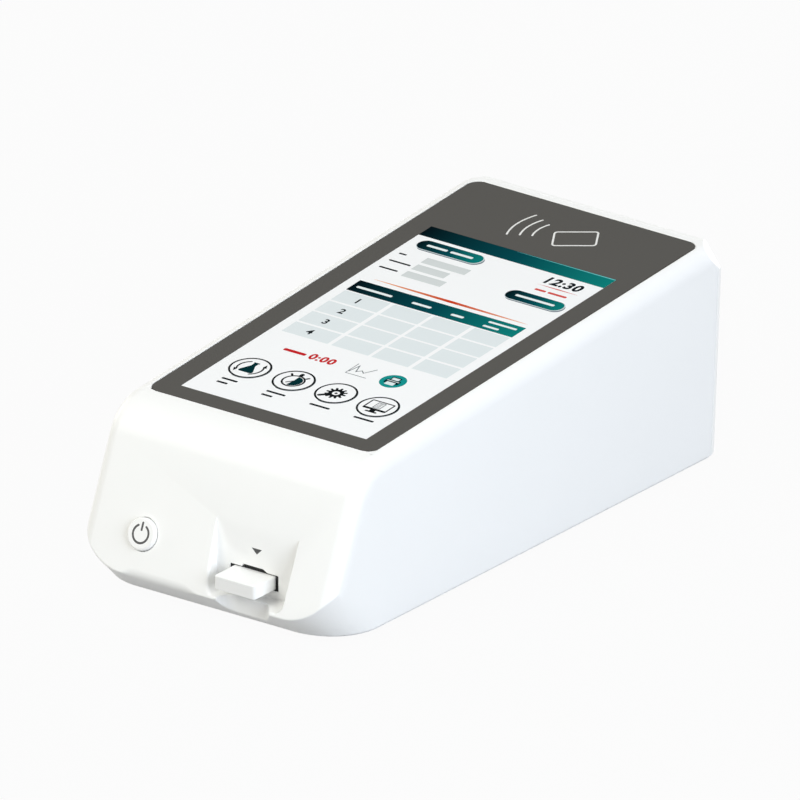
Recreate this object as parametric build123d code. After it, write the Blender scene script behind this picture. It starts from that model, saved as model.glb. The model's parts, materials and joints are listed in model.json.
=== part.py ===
from build123d import *
import os
from math import cos, radians, sin, tan

# Desktop fluorescence immunoassay analyzer, all sizes in millimetres.
# Working frame: x = 0 on the middle plane with +X to the right seen from the front,
# y = 0 at the front edge of the flat bottom with +Y to the back, z = 0 on the flat bottom.
# save() moves each piece to the part's own frame, whose origin lies on the table under the
# middle of the outline.

# Outline of the body, seen from the side and from the front
BODY_WIDTH = 118.5
BASE_LENGTH = 232.1
REAR_HEIGHT = 84.4
REAR_LEAN = 3.6
TOP_SLOPE = 4.5
FRONT_LEAN = 22.7
CHIN_REACH = 10.5
CHIN_HEIGHT = 9.4
NOSE_RADIUS = 20.0
EDGE_RADIUS = 6.5
CORNER_RADIUS = 22.0
REAR_BEVEL_DEPTH = 1.5
REAR_BEVEL_ANGLE = 24.0
FACET_ACROSS = 7.8
FACET_DOWN = 9.4
FACET_ANGLE = 29.0

# Mouldings
WALL = 2.5
SEAM = 0.3
REAR_SEAM = 0.12
HEM = 0.8
BASE_THICKNESS = 3.0
REAR_THICKNESS = 3.8
REAR_BOSS_RADIUS = 4.0
REAR_BOSS_LENGTH = 9.0
REAR_BOSS_LOW = 14.0
REAR_BOSS_HIGH = 70.0
BASE_BOSS_RADIUS = 4.0
BASE_BOSS_HEIGHT = 14.0
BASE_BOSS_FRONT = 34.0
BASE_BOSS_BACK_MARGIN = 36.0
BOSS_BITE = 0.5

# Screws of two sizes: thread radius, head radius, head height and lengths in use
BIG_THREAD = 1.5
BIG_HEAD = 2.75
BIG_HEAD_HEIGHT = 2.0
SMALL_THREAD = 1.0
SMALL_HEAD = 1.9
SMALL_HEAD_HEIGHT = 1.5
DRIVER_SHARE = 0.4
DRIVER_DEPTH = 0.5
PILOT_CLEARANCE = 0.05
HOLE_CLEARANCE = 0.25
TIP_CLEARANCE = 0.5
BASE_SCREW_LENGTH = 10.0
BASE_SCREW_SINK = 0.8
REAR_SCREW_LENGTH = 7.0
BRACKET_SCREW_LENGTH = 4.0
SWITCH_SCREW_LENGTH = 5.0
CHASSIS_SCREW_LENGTH = 4.6
BOARD_SCREW_LENGTH = 5.0
SCREW_SHORT = 0.3

# Cover glass, display and card reader aerial
GLASS_SIDE = 6.75
GLASS_FRONT = 26.6
GLASS_BACK_MARGIN = 6.9
GLASS_THICKNESS = 1.8
GLASS_CORNER = 5.0
GLASS_GAP = 0.25
TAPE_THICKNESS = 0.3
TAPE_INSET = 0.6
LEDGE_THICKNESS = 2.3
LEDGE_SIDE = 3.9
LEDGE_FRONT = 4.9
LEDGE_BACK = 36.3
MODULE_THICKNESS = 5.0
MODULE_CORNER = 1.0
MODULE_GAP = 0.5
BRACKET_SIDE_GAP = 1.0
BRACKET_LENGTH = 150.0
BRACKET_THICKNESS = 1.2
BRACKET_CORNER = 3.0
BRACKET_BOSS_RADIUS = 3.0
BRACKET_BOSS_FRONT = 34.0
BRACKET_BOSS_BACK = 136.0
BRACKET_BOSS_INSET = 3.6
STUD_RADIUS = 2.2
STUD_HEIGHT = 2.0
STUD_INSET = 3.5
DRIVER_BOARD_WIDTH = 70.0
DRIVER_BOARD_LENGTH = 46.0
DRIVER_BOARD_CENTRE = 122.0
BOARD_THICKNESS = 1.6
ANTENNA_WIDTH = 62.0
ANTENNA_MARGIN = 5.9
ANTENNA_THICKNESS = 1.0
ANTENNA_TURNS = 3
ANTENNA_EDGE = 1.0
ANTENNA_TRACK = 1.2
ANTENNA_PITCH = 2.6
ANTENNA_COPPER = 0.2

# Card recess, slot and finger notch in the front
RECESS_X = 18.7
RECESS_WIDTH = 37.4
RECESS_BACK = 1.2
RECESS_CORNER = 6.0
NOTCH_SHIFT = 1.1
NOTCH_WIDTH = 24.3
NOTCH_DEPTH = 8.6
NOTCH_CORNER = 5.0
SLOT_SILL = 3.3
SLOT_SIDE_GAP = 1.85
SLOT_UNDER_GAP = 0.6
SLOT_OVER_GAP = 0.35
SLOT_BUMP_WIDTH = 10.0
SLOT_BUMP_HEIGHT = 1.1

# Test card
CARD_SHIFT = -1.9
CARD_WIDTH = 19.0
CARD_THICKNESS = 5.3
CARD_LENGTH = 70.0
CARD_SHOWS = 12.6
CARD_SPLIT = 2.6
CARD_CORNER = 1.2
STRIP_WIDTH = 4.0
STRIP_LENGTH = 56.0
STRIP_THICKNESS = 0.5
STRIP_SINK = 0.4
STRIP_GAP = 0.1
WINDOW_LENGTH = 17.0
WINDOW_WIDTH = 4.0
WINDOW_FROM_END = 36.4
WELL_RADIUS = 3.0
WELL_FROM_END = 22.0

# Frame of the scanner
CHASSIS_GAP = 1.3
CHASSIS_RISE = 1.0
CHASSIS_THICKNESS = 2.0
CHASSIS_WALL = 3.0
CHASSIS_WALL_HEIGHT = 18.0
CHASSIS_SCREW_SIDE = 7.0
CHASSIS_SENSOR_SIDE = 1.2
GATE_GAP = 1.5
PAD_RIM = 1.0
HOLE_MARGIN = 5.0
SENSOR_HOLE_MARGIN = 3.5

# Card carrier with its rods
CARRIER_TRAVEL = 30.0
CARRIER_LIFT = 0.9
CARRIER_END_GAP = 0.5
CARRIER_FLOOR = 2.0
CARRIER_RAIL_WIDTH = 2.4
CARRIER_RAIL_HEIGHT = 3.8
CARD_GAP = 0.3
CARD_REST_GAP = 0.1
STOP_LENGTH = 5.6
ROD_RADIUS = 2.0
ROD_OFFSET = 15.5
ROD_COVER = 1.3
ROD_FLOOR_GAP = 0.1
RUNNING_GAP = 0.05
SEAT_GAP = 0.02
FLAG_THICKNESS = 1.2
FLAG_WIDTH = 4.6
FLAG_LENGTH = 4.0
FLAG_ROOT = 5.6
FLAG_CLEARANCE = 0.4
SENSOR_GAP = 0.8
SENSOR_BACK = 1.0
SENSOR_LENGTH = 7.0
SENSOR_HEIGHT = 10.0
SENSOR_SLOT = 3.2
SENSOR_OVERHANG = 1.5
CLIP_THICKNESS = 0.4
CLIP_WIDTH = 7.0
CLIP_REACH = 14.0

# Lead screw, nut, bushes and motor
SCREW_RADIUS = 2.5
SCREW_CLEARANCE = 1.4
SCREW_CHAMFER = 0.4
SCREW_END_GAP = 0.3
NUT_RADIUS = 4.0
NUT_FLANGE_RADIUS = 5.2
NUT_FLANGE_THICKNESS = 1.2
NUT_BLOCK_COVER = 1.5
NUT_BLOCK_LENGTH = 6.0
NUT_BLOCK_SHAVE = 1.0
BUSH_RADIUS = 4.0
BUSH_FLANGE_RADIUS = 5.2
BUSH_FLANGE_THICKNESS = 1.0
MOTOR_RADIUS = 10.0
MOTOR_LENGTH = 18.0
MOTOR_CLEARANCE = 1.0
MOTOR_PLATE_THICKNESS = 1.0
MOTOR_EAR_OFFSET = 12.5
MOTOR_EAR_RADIUS = 3.2
MOTOR_EAR_MARGIN = 1.3
ROTOR_DEPTH = 12.0
ROTOR_GAP = 0.1

# Optical head and its bridge over the carrier
BRIDGE_LENGTH = 15.0
BRIDGE_LEG = 3.0
BRIDGE_CLEARANCE = 1.3
BRIDGE_NUT_GAP = 0.3
BRIDGE_PLATE = 2.5
BRIDGE_HEADROOM = 3.0
BEAM_HOLE = 7.0
OPTICS_WIDTH = 26.0
OPTICS_HEIGHT = 22.0
OPTICS_BORE = 4.0
LAMP_SIDE = 6.0
LAMP_SIDE_DROP = 4.0
LAMP_BORE = 3.0
LAMP_TILT = 45.0
LAMP_DISTANCE = 17.0
LAMP_LENGTH = 7.0
LAMP_FILTER_DISTANCE = 13.0
LENS_HEIGHT = 2.0
LENS_THICKNESS = 2.4
LENS_CURVE = 9.0
FILTER_HEIGHT = 9.0
FILTER_THICKNESS = 2.0
DETECTOR_LENGTH = 5.0
DETECTOR_BOARD_WIDTH = 30.0
DETECTOR_BOARD_LENGTH = 18.0

# Power button and its switch
BUTTON_X = -31.1
BUTTON_UP = 16.2
BUTTON_RADIUS = 6.3
BUTTON_STANDS = 1.6
BUTTON_GAP = 0.2
BUTTON_TRAVEL = 0.8
BUTTON_CHAMFER = 0.5
FLANGE_LIP = 1.1
FLANGE_THICKNESS = 1.2
FLANGE_GAP = 0.05
STEM_RADIUS = 2.5
STEM_LENGTH = 3.6
PLUNGER_RADIUS = 1.7
PLUNGER_LENGTH = 3.0
PLUNGER_GAP = 0.15
SWITCH_SIDE = 6.0
SWITCH_DEPTH = 3.5
SWITCH_GAP = 0.2
SWITCH_BOARD_WIDTH = 13.0
SWITCH_BOARD_EDGE = 2.5
SWITCH_BOARD_THICKNESS = 1.2
POST_RADIUS = 2.6
POST_GAP = 0.5

# Main board with its sockets
MAIN_SIDE_GAP = 2.25
MAIN_LENGTH = 56.0
MAIN_GAP = 2.3
STANDOFF_RADIUS = 3.0
STANDOFF_HEIGHT = 5.0
STANDOFF_INSET = 4.5
SOCKET_GAP = 0.3
SOCKET_SINK = 0.2
USB_WIDTH = 14.4
USB_HEIGHT = 7.0
USB_LENGTH = 14.0
USB_FROM_SIDE = 16.0
USB_SPACING = 20.0
USB_SHELL = 0.6
USB_BACK = 2.0
USB_TONGUE_WIDTH = 11.4
USB_TONGUE_THICKNESS = 1.8
USB_TONGUE_RISE = 0.8
LAN_X = 12.0
LAN_WIDTH = 16.0
LAN_HEIGHT = 13.4
LAN_LENGTH = 20.0
LAN_MOUTH_WIDTH = 11.8
LAN_MOUTH_HEIGHT = 8.0
LAN_MOUTH_DEPTH = 12.0
LAN_MOUTH_RISE = 3.0
LAN_LATCH_WIDTH = 5.9
LAN_LATCH_DROP = 1.6
DC_FROM_SIDE = 13.0
DC_WIDTH = 9.4
DC_HEIGHT = 11.0
DC_LENGTH = 14.0
DC_BORE = 3.2
DC_PIN = 1.0
DC_PIN_SINK = 1.0
DC_DEPTH = 10.0
VENT_COUNT = 7
VENT_WIDTH = 2.0
VENT_LENGTH = 30.0
VENT_PITCH = 5.0
VENT_FIRST = 33.0
VENT_END_RADIUS = 0.95
CELL_FROM_SIDE = 17.0
CELL_FROM_FRONT = 16.0
CELL_RADIUS = 10.0
CELL_THICKNESS = 3.2
CELL_GAP = 0.1
HOLDER_FLOOR = 1.4
HOLDER_RIM = 1.5
BUZZER_FROM_SIDE = 37.0
BUZZER_FROM_FRONT = 26.0
BUZZER_RADIUS = 6.0
BUZZER_HEIGHT = 7.0
BUZZER_HOLE = 1.2
BUZZER_HOLE_DEPTH = 2.0
# Each chip: place from the board's front right corner, then its width, length and height
CHIPS = ((72, 16, 14, 14, 1.4), (52, 14, 10, 8, 1.1), (52, 26, 10, 8, 1.1), (32, 12, 7, 7, 1.2))

# Flat ribbon between the two boards
RIBBON_X = -14.0
RIBBON_WIDTH = 20.0
RIBBON_THICKNESS = 0.4
RIBBON_BEND = 4.0
RIBBON_DROP = 14.0
RIBBON_CLIMB = 16.0
RIBBON_FOOT = 6.0
RIBBON_EDGE = 1.0
RIBBON_SOCKET_SIDE = 2.0
RIBBON_SOCKET_LENGTH = 5.0
RIBBON_SOCKET_HEIGHT = 2.4

# Feet
FOOT_RADIUS = 6.0
FOOT_THICKNESS = 2.5
FOOT_SHOWS = 1.0
FOOT_GAP = 0.2
FOOT_ROUND = 0.4
FOOT_SIDE = 13.75
FOOT_FRONT = 30.0
FOOT_BACK_MARGIN = 20.0

# Reach of the cutting blocks past the body, and how far cuts run past a face
OUTSIDE = 30.0
PAST = 1.0
BOTTOM = (Align.CENTER, Align.CENTER, Align.MIN)

# Directions and corner points of the side outline
FRONT_UP = Vector(0, sin(radians(FRONT_LEAN)), cos(radians(FRONT_LEAN)))
FRONT_OUT = Vector(0, -cos(radians(FRONT_LEAN)), sin(radians(FRONT_LEAN)))
TOP_BACK = Vector(0, cos(radians(TOP_SLOPE)), sin(radians(TOP_SLOPE)))
TOP_OUT = Vector(0, -sin(radians(TOP_SLOPE)), cos(radians(TOP_SLOPE)))
REAR_OUT = Vector(0, cos(radians(REAR_LEAN)), -sin(radians(REAR_LEAN)))
REAR_TOP_Y = BASE_LENGTH + REAR_HEIGHT * tan(radians(REAR_LEAN))
REAR_FACE_TOP = REAR_HEIGHT / cos(radians(REAR_LEAN)) - REAR_BEVEL_DEPTH


def top_z(y):
    """Height of the sloped top above a place y."""
    return REAR_HEIGHT - (REAR_TOP_Y - y) * tan(radians(TOP_SLOPE))


def rear_y(z):
    """Place of the rear wall's outer face at a height."""
    return BASE_LENGTH + z * tan(radians(REAR_LEAN))


# Local frames on the surfaces: x across, y up the surface and z outwards
FRONT = Plane(origin=(0, -CHIN_REACH, CHIN_HEIGHT), x_dir=(1, 0, 0), z_dir=FRONT_OUT).location
TOP = Plane(origin=(0, GLASS_FRONT, top_z(GLASS_FRONT)), x_dir=(1, 0, 0), z_dir=TOP_OUT).location
REAR = Plane(origin=(0, BASE_LENGTH, 0), x_dir=(-1, 0, 0), z_dir=REAR_OUT).location

# Heights of the scanner, stacked up from the base tray
CHASSIS_BOTTOM = BASE_THICKNESS + CHASSIS_RISE
CHASSIS_TOP = CHASSIS_BOTTOM + CHASSIS_THICKNESS
CHASSIS_WALL_TOP = CHASSIS_TOP + CHASSIS_WALL_HEIGHT
SKIRT_BOTTOM = CHASSIS_TOP + CARRIER_LIFT
ROD_HEIGHT = SKIRT_BOTTOM + ROD_COVER + ROD_RADIUS
FLOOR_BOTTOM = ROD_HEIGHT + ROD_RADIUS + ROD_FLOOR_GAP
FLOOR_TOP = FLOOR_BOTTOM + CARRIER_FLOOR
RAIL_TOP = FLOOR_TOP + CARRIER_RAIL_HEIGHT
CARD_BOTTOM = FLOOR_TOP + CARD_REST_GAP
CARD_MIDDLE = CARD_BOTTOM + CARD_SPLIT
CARD_TOP = CARD_BOTTOM + CARD_THICKNESS
SCREW_HEIGHT = BASE_THICKNESS + MOTOR_CLEARANCE + MOTOR_RADIUS
BRIDGE_UNDER = RAIL_TOP + BRIDGE_HEADROOM
BRIDGE_TOP = BRIDGE_UNDER + BRIDGE_PLATE
OPTICS_TOP = BRIDGE_TOP + OPTICS_HEIGHT

# Heights of the slot and the recess, from the card
SLOT_BOTTOM = CARD_BOTTOM - SLOT_UNDER_GAP
SLOT_TOP = CARD_TOP + SLOT_OVER_GAP
RECESS_FLOOR = SLOT_BOTTOM - SLOT_SILL

# Places across the body
INNER_HALF = BODY_WIDTH / 2 - WALL
NOTCH_X = RECESS_X + NOTCH_SHIFT
CARD_X = RECESS_X + CARD_SHIFT
SLOT_HALF = CARD_WIDTH / 2 + SLOT_SIDE_GAP
RAIL_INSIDE = CARD_WIDTH / 2 + CARD_GAP
RAIL_OUTSIDE = RAIL_INSIDE + CARRIER_RAIL_WIDTH
SKIRT_OUTSIDE = ROD_OFFSET + ROD_RADIUS + ROD_COVER
SKIRT_INSIDE = ROD_OFFSET - ROD_RADIUS - ROD_COVER
BRIDGE_INSIDE = SKIRT_OUTSIDE + BRIDGE_CLEARANCE
BRIDGE_OUTSIDE = BRIDGE_INSIDE + BRIDGE_LEG
SCREW_X = CARD_X - BRIDGE_OUTSIDE - SCREW_CLEARANCE - SCREW_RADIUS
FLAG_END = CARD_X + SKIRT_OUTSIDE + FLAG_WIDTH
SENSOR_SLOT_END = FLAG_END + FLAG_CLEARANCE
SENSOR_END = SENSOR_SLOT_END + SENSOR_BACK
CHASSIS_X = (SCREW_X - CHASSIS_SCREW_SIDE, SENSOR_END + CHASSIS_SENSOR_SIDE)
MOTOR_WALL_X = SCREW_X - MOTOR_EAR_OFFSET - MOTOR_EAR_RADIUS - MOTOR_EAR_MARGIN

# Places along the body, for the scanner and the card at rest
CARD_FRONT = RECESS_BACK - CARD_SHOWS
CARD_BACK = CARD_FRONT + CARD_LENGTH
CHASSIS_FRONT = RECESS_BACK + WALL + CHASSIS_GAP
CARRIER_FRONT = CHASSIS_FRONT + CHASSIS_WALL + CARRIER_END_GAP
STOP_FRONT = CARD_BACK + CARD_GAP
CARRIER_BACK = STOP_FRONT + STOP_LENGTH
BACK_WALL = CARRIER_BACK + CARRIER_TRAVEL + HOLE_MARGIN
CHASSIS_BACK = BACK_WALL + CHASSIS_WALL
MOTOR_FRONT = CHASSIS_BACK + MOTOR_PLATE_THICKNESS
NUT_FRONT = CARRIER_BACK - NUT_BLOCK_LENGTH
BRIDGE_BACK = NUT_FRONT - NUT_FLANGE_THICKNESS - BRIDGE_NUT_GAP
BRIDGE_FRONT = BRIDGE_BACK - BRIDGE_LENGTH
SCAN_Y = (BRIDGE_FRONT + BRIDGE_BACK) / 2
STRIP_MIDDLE = (CARD_FRONT + CARD_BACK) / 2
STRIP_SPAN = (STRIP_MIDDLE - STRIP_LENGTH / 2, STRIP_MIDDLE + STRIP_LENGTH / 2)

# Glass and display, in the top's frame
GLASS_WIDTH = BODY_WIDTH - 2 * GLASS_SIDE
GLASS_LENGTH = (REAR_TOP_Y - GLASS_FRONT) / cos(radians(TOP_SLOPE)) - GLASS_BACK_MARGIN
POCKET_DEPTH = GLASS_THICKNESS + TAPE_THICKNESS
LEDGE_BOTTOM = -POCKET_DEPTH - LEDGE_THICKNESS
MODULE_HALF = GLASS_WIDTH / 2 - LEDGE_SIDE
MODULE_SPAN = (LEDGE_FRONT, GLASS_LENGTH - LEDGE_BACK)
MODULE_MIDDLE = (MODULE_SPAN[0] + MODULE_SPAN[1]) / 2
BRACKET_TOP = -GLASS_THICKNESS - MODULE_THICKNESS
BRACKET_BOTTOM = BRACKET_TOP - BRACKET_THICKNESS
DRIVER_TOP = BRACKET_BOTTOM - STUD_HEIGHT
DRIVER_BOTTOM = DRIVER_TOP - BOARD_THICKNESS
ANTENNA_SPAN = (MODULE_SPAN[1] + MODULE_GAP + ANTENNA_MARGIN, GLASS_LENGTH - ANTENNA_MARGIN)
ANTENNA_BOTTOM = LEDGE_BOTTOM - ANTENNA_THICKNESS

# Depths of the button's pieces behind the front face, in the front's frame
FLANGE_RADIUS = BUTTON_RADIUS + FLANGE_LIP
BUTTON_BACK = -WALL - FLANGE_GAP - FLANGE_THICKNESS
STEM_END = BUTTON_BACK - STEM_LENGTH
SWITCH_FRONT = STEM_END - BUTTON_TRAVEL - SWITCH_GAP
SWITCH_BACK = SWITCH_FRONT - SWITCH_DEPTH
SWITCH_BOARD_BACK = SWITCH_BACK - SWITCH_BOARD_THICKNESS
POST_OFFSET = FLANGE_RADIUS + POST_GAP + POST_RADIUS
BUTTON = FRONT * Pos(BUTTON_X, BUTTON_UP, 0)

# Screw places
BASE_SCREW_SEAT = BASE_THICKNESS - BASE_SCREW_SINK
BASE_BOSS_X = INNER_HALF - BASE_BOSS_RADIUS + BOSS_BITE
REAR_BOSS_X = INNER_HALF - REAR_BOSS_RADIUS + BOSS_BITE
MAIN_HALF = BASE_BOSS_X - BASE_BOSS_RADIUS - MAIN_SIDE_GAP
MAIN_SPAN = (
    BASE_LENGTH - REAR_THICKNESS - MAIN_GAP - MAIN_LENGTH,
    BASE_LENGTH - REAR_THICKNESS - MAIN_GAP,
)
BOARD_BOTTOM = BASE_THICKNESS + STANDOFF_HEIGHT
BOARD_TOP = BOARD_BOTTOM + BOARD_THICKNESS


def pairs(first, second):
    """Every pairing of two lists of values."""
    return [(a, b) for a in first for b in second]


base_bosses = pairs((-BASE_BOSS_X, BASE_BOSS_X), (BASE_BOSS_FRONT, BASE_LENGTH - BASE_BOSS_BACK_MARGIN))
rear_bosses = pairs((-REAR_BOSS_X, REAR_BOSS_X), (REAR_BOSS_LOW, REAR_BOSS_HIGH))
bracket_bosses = pairs(
    (-INNER_HALF + BRACKET_BOSS_INSET, INNER_HALF - BRACKET_BOSS_INSET),
    (BRACKET_BOSS_FRONT, BRACKET_BOSS_BACK),
)
driver_studs = pairs(
    (-DRIVER_BOARD_WIDTH / 2 + STUD_INSET, DRIVER_BOARD_WIDTH / 2 - STUD_INSET),
    (
        DRIVER_BOARD_CENTRE - DRIVER_BOARD_LENGTH / 2 + STUD_INSET,
        DRIVER_BOARD_CENTRE + DRIVER_BOARD_LENGTH / 2 - STUD_INSET,
    ),
)
chassis_holes = pairs(
    (CHASSIS_X[0] + HOLE_MARGIN, CHASSIS_X[1] - SENSOR_HOLE_MARGIN),
    (CHASSIS_FRONT + CHASSIS_WALL + HOLE_MARGIN, BACK_WALL - HOLE_MARGIN),
)
board_holes = pairs(
    (-MAIN_HALF + STANDOFF_INSET, MAIN_HALF - STANDOFF_INSET),
    (MAIN_SPAN[0] + STANDOFF_INSET, MAIN_SPAN[1] - STANDOFF_INSET),
)
foot_places = pairs(
    (-INNER_HALF + FOOT_SIDE, INNER_HALF - FOOT_SIDE), (FOOT_FRONT, BASE_LENGTH - FOOT_BACK_MARGIN)
)
post_ups = (BUTTON_UP - POST_OFFSET, BUTTON_UP + POST_OFFSET)
rod_xs = (CARD_X - ROD_OFFSET, CARD_X + ROD_OFFSET)
ear_xs = (SCREW_X - MOTOR_EAR_OFFSET, SCREW_X + MOTOR_EAR_OFFSET)
usb_xs = (USB_FROM_SIDE - MAIN_HALF, USB_FROM_SIDE - MAIN_HALF + USB_SPACING)
DC_X = MAIN_HALF - DC_FROM_SIDE
CELL_X = MAIN_HALF - CELL_FROM_SIDE
BUZZER_X = MAIN_HALF - BUZZER_FROM_SIDE

# The part's own frame stands on the table under the middle of the outline
REAR_REACH = BASE_LENGTH + REAR_FACE_TOP * sin(radians(REAR_LEAN))
CENTRE_Y = (min(CARD_FRONT, -CHIN_REACH) + REAR_REACH) / 2
PLACE = Pos(0, -CENTRE_Y, FOOT_SHOWS)


def save(name, *pieces):
    """Writes one node, which may hold several like solids."""
    solids = [solid for piece in pieces for solid in piece.solids()]
    shape = solids[0] if len(solids) == 1 else Compound(children=solids)
    export_step(PLACE * shape, f"parts/{name}.step")


# Basic shapes
def block(x, y, z):
    """A box between the low and high values of x, y and z."""
    size = (x[1] - x[0], y[1] - y[0], z[1] - z[0])
    return Pos((x[0] + x[1]) / 2, (y[0] + y[1]) / 2, (z[0] + z[1]) / 2) * Box(*size)


def about(middle, width):
    """The low and high value of a width about its middle."""
    return middle - width / 2, middle + width / 2


def bar(start, end, radius):
    """A round bar from one point to another."""
    start, end = Vector(*start), Vector(*end)
    span = end - start
    place = Plane(origin=start, z_dir=span.normalized())
    return place.location * Cylinder(radius, span.length, align=BOTTOM)


def post(x, y, low, high, radius):
    """A round bar along z."""
    return bar((x, y, low), (x, y, high), radius)


def rod(x, z, front, back, radius):
    """A round bar along y."""
    return bar((x, front, z), (x, back, z), radius)


def in_frame(frame, x, y, z):
    """The working-frame point of a place in one of the local frames."""
    return (frame * Pos(x, y, z)).position


def stud(frame, x, y, low, high, radius):
    """A round bar square to one of the local frames."""
    return bar(in_frame(frame, x, y, low), in_frame(frame, x, y, high), radius)


def layer(low, high):
    """Everything between two heights."""
    return block((-BODY_WIDTH, BODY_WIDTH), (-OUTSIDE, BASE_LENGTH + OUTSIDE), (low, high))


def rear_slab(front, back):
    """A slab parallel to the rear wall, between two depths measured outwards from it."""
    return REAR * block((-BODY_WIDTH, BODY_WIDTH), (-OUTSIDE, REAR_HEIGHT + OUTSIDE), (front, back))


def screw(point, direction, length, thread, head, head_height):
    """A pan-head screw with its driver recess; point is the middle of the face under the head."""
    point, along = Vector(*point), Vector(*direction).normalized()
    top = point - along * head_height
    body = bar(top, point, head) + bar(point, point + along * length, thread)
    return body - bar(top, top + along * head_height * DRIVER_DEPTH, head * DRIVER_SHARE)


def big_screw(point, direction, length):
    return screw(point, direction, length, BIG_THREAD, BIG_HEAD, BIG_HEAD_HEIGHT)


def small_screw(point, direction, length):
    return screw(point, direction, length, SMALL_THREAD, SMALL_HEAD, SMALL_HEAD_HEIGHT)


# Form of the body
def line_meet(p, d, q, e):
    """The point where the line through p along d meets the line through q along e."""
    det = d[0] * e[1] - d[1] * e[0]
    t = ((q[0] - p[0]) * e[1] - (q[1] - p[1]) * e[0]) / det
    return p[0] + d[0] * t, p[1] + d[1] * t


def inset_corners(inset):
    """Corners of the side outline: base front, crease, nose, rear top and rear bottom.

    Every side but the bottom is moved inwards by inset, so an inner form is open below.
    """
    nose = line_meet(
        (-CHIN_REACH, CHIN_HEIGHT),
        (FRONT_UP.Y, FRONT_UP.Z),
        (REAR_TOP_Y, REAR_HEIGHT),
        (TOP_BACK.Y, TOP_BACK.Z),
    )
    corners = [(0, 0), (-CHIN_REACH, CHIN_HEIGHT), nose, (REAR_TOP_Y, REAR_HEIGHT), (BASE_LENGTH, 0)]
    lines = []
    for here, there in zip(corners, corners[1:] + corners[:1]):
        along = Vector(there[0] - here[0], there[1] - here[1]).normalized()
        is_bottom = here[1] == 0 and there[1] == 0
        inward = Vector(along.Y, -along.X) * (0 if is_bottom else inset)
        lines.append(((here[0] + inward.X, here[1] + inward.Y), (along.X, along.Y)))
    return [line_meet(*lines[i - 1], *lines[i]) for i in range(len(lines))]


def corner_cuts(inset, corners):
    """What the round front corners take off: ruled solids from the front face to the bottom."""
    radius = CORNER_RADIUS - inset
    half = BODY_WIDTH / 2 - inset
    reach = half + OUTSIDE
    edge = Polyline(
        (half - radius, 0), (half - radius, -OUTSIDE), (reach, -OUTSIDE), (reach, radius), (half, radius)
    )
    arc = RadiusArc((half, radius), (half - radius, 0), radius)
    section = make_face((edge + arc).edges())
    front_plane = Plane(origin=(0, *corners[1]), x_dir=(1, 0, 0), z_dir=FRONT_OUT)
    base_plane = Plane(origin=(0, *corners[0]), x_dir=(1, 0, 0), z_dir=(0, 0, 1))
    right = loft([front_plane * section, base_plane * section], ruled=True)
    return [right, mirror(right, Plane.YZ)]


def envelope(inset):
    """The body's outer form, or the same form with every wall moved inwards by inset."""
    half = BODY_WIDTH / 2 - inset
    corners = inset_corners(inset)
    side = make_face(Polyline(*corners, close=True).edges())
    side = fillet(side.vertices().sort_by_distance((*corners[2], 0))[0], NOSE_RADIUS - inset)
    body = extrude(Plane.YZ * side, half, both=True)
    soft = []
    for edge in body.edges().filter_by(lambda e: abs(abs(e.center().X) - half) < SEAT_GAP):
        centre = edge.center()
        if centre.Z > CHIN_HEIGHT and centre.Y < BASE_LENGTH - CORNER_RADIUS:
            soft.append(edge)
    return fillet(soft, EDGE_RADIUS - inset) - corner_cuts(inset, corners)


def rear_bevels(inset):
    """What the bevelled rear end takes off: both sides, the top and a facet over each top corner.

    Every cut is a plane through a line on the rear face, leaning outwards to the front.
    """
    half = BODY_WIDTH / 2 - inset - REAR_BEVEL_DEPTH
    top = REAR_FACE_TOP - inset
    planes = [(0, top, 0, 1, REAR_BEVEL_ANGLE)]
    for side in (-1, 1):
        planes.append((side * half, top / 2, side, 0, REAR_BEVEL_ANGLE))
        slant = Vector(side * FACET_DOWN, FACET_ACROSS).normalized()
        planes.append((side * half, top - FACET_DOWN, slant.X, slant.Y, FACET_ANGLE))
    cuts = []
    for x, up, right, rise, angle in planes:
        lean = cos(radians(angle))
        face = Plane(origin=(x, up, -inset), z_dir=(right * lean, rise * lean, sin(radians(angle))))
        cuts.append(REAR * face.location * Box(BASE_LENGTH, BASE_LENGTH, OUTSIDE, align=BOTTOM))
    return cuts


# Spaces cut out of the mouldings
def recess_space():
    """The open space of the recess: upright back wall, level floor, rounded bottom corners."""
    space = block(
        about(RECESS_X, RECESS_WIDTH), (-OUTSIDE, RECESS_BACK), (RECESS_FLOOR, RECESS_FLOOR + 2 * OUTSIDE)
    )
    low = [e for e in space.edges().filter_by(Axis.Y) if e.center().Z < RECESS_FLOOR + PAST]
    return fillet(low, RECESS_CORNER)


def notch_space():
    """The finger notch through the lip under the card."""
    back = -CHIN_REACH + NOTCH_DEPTH
    space = block(about(NOTCH_X, NOTCH_WIDTH), (-OUTSIDE, back), (-OUTSIDE, RECESS_FLOOR + RECESS_CORNER))
    deep = [e for e in space.edges().filter_by(Axis.Z) if e.center().Y > back - PAST]
    return fillet(deep, NOTCH_CORNER)


def slot_space():
    """The card slot through the back wall of the recess, with a raised middle."""
    depth = (RECESS_BACK - PAST, RECESS_BACK + WALL + PAST)
    wide = block(about(CARD_X, 2 * SLOT_HALF), depth, (SLOT_BOTTOM, SLOT_TOP))
    return wide + block(about(CARD_X, SLOT_BUMP_WIDTH), depth, (SLOT_BOTTOM, SLOT_TOP + SLOT_BUMP_HEIGHT))


def module_hole():
    """The opening for the display module in the glass ledge."""
    span = (MODULE_SPAN[0] - MODULE_GAP, MODULE_SPAN[1] + MODULE_GAP)
    return TOP * block(about(0, 2 * (MODULE_HALF + MODULE_GAP)), span, (-OUTSIDE, PAST))


def glass_plate(grow, low, high):
    """A plate of the cover glass's outline, grown sideways by grow."""
    outline = RectangleRounded(GLASS_WIDTH + 2 * grow, GLASS_LENGTH + 2 * grow, GLASS_CORNER + grow)
    return TOP * Pos(0, GLASS_LENGTH / 2, low) * extrude(outline, high - low)


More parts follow.
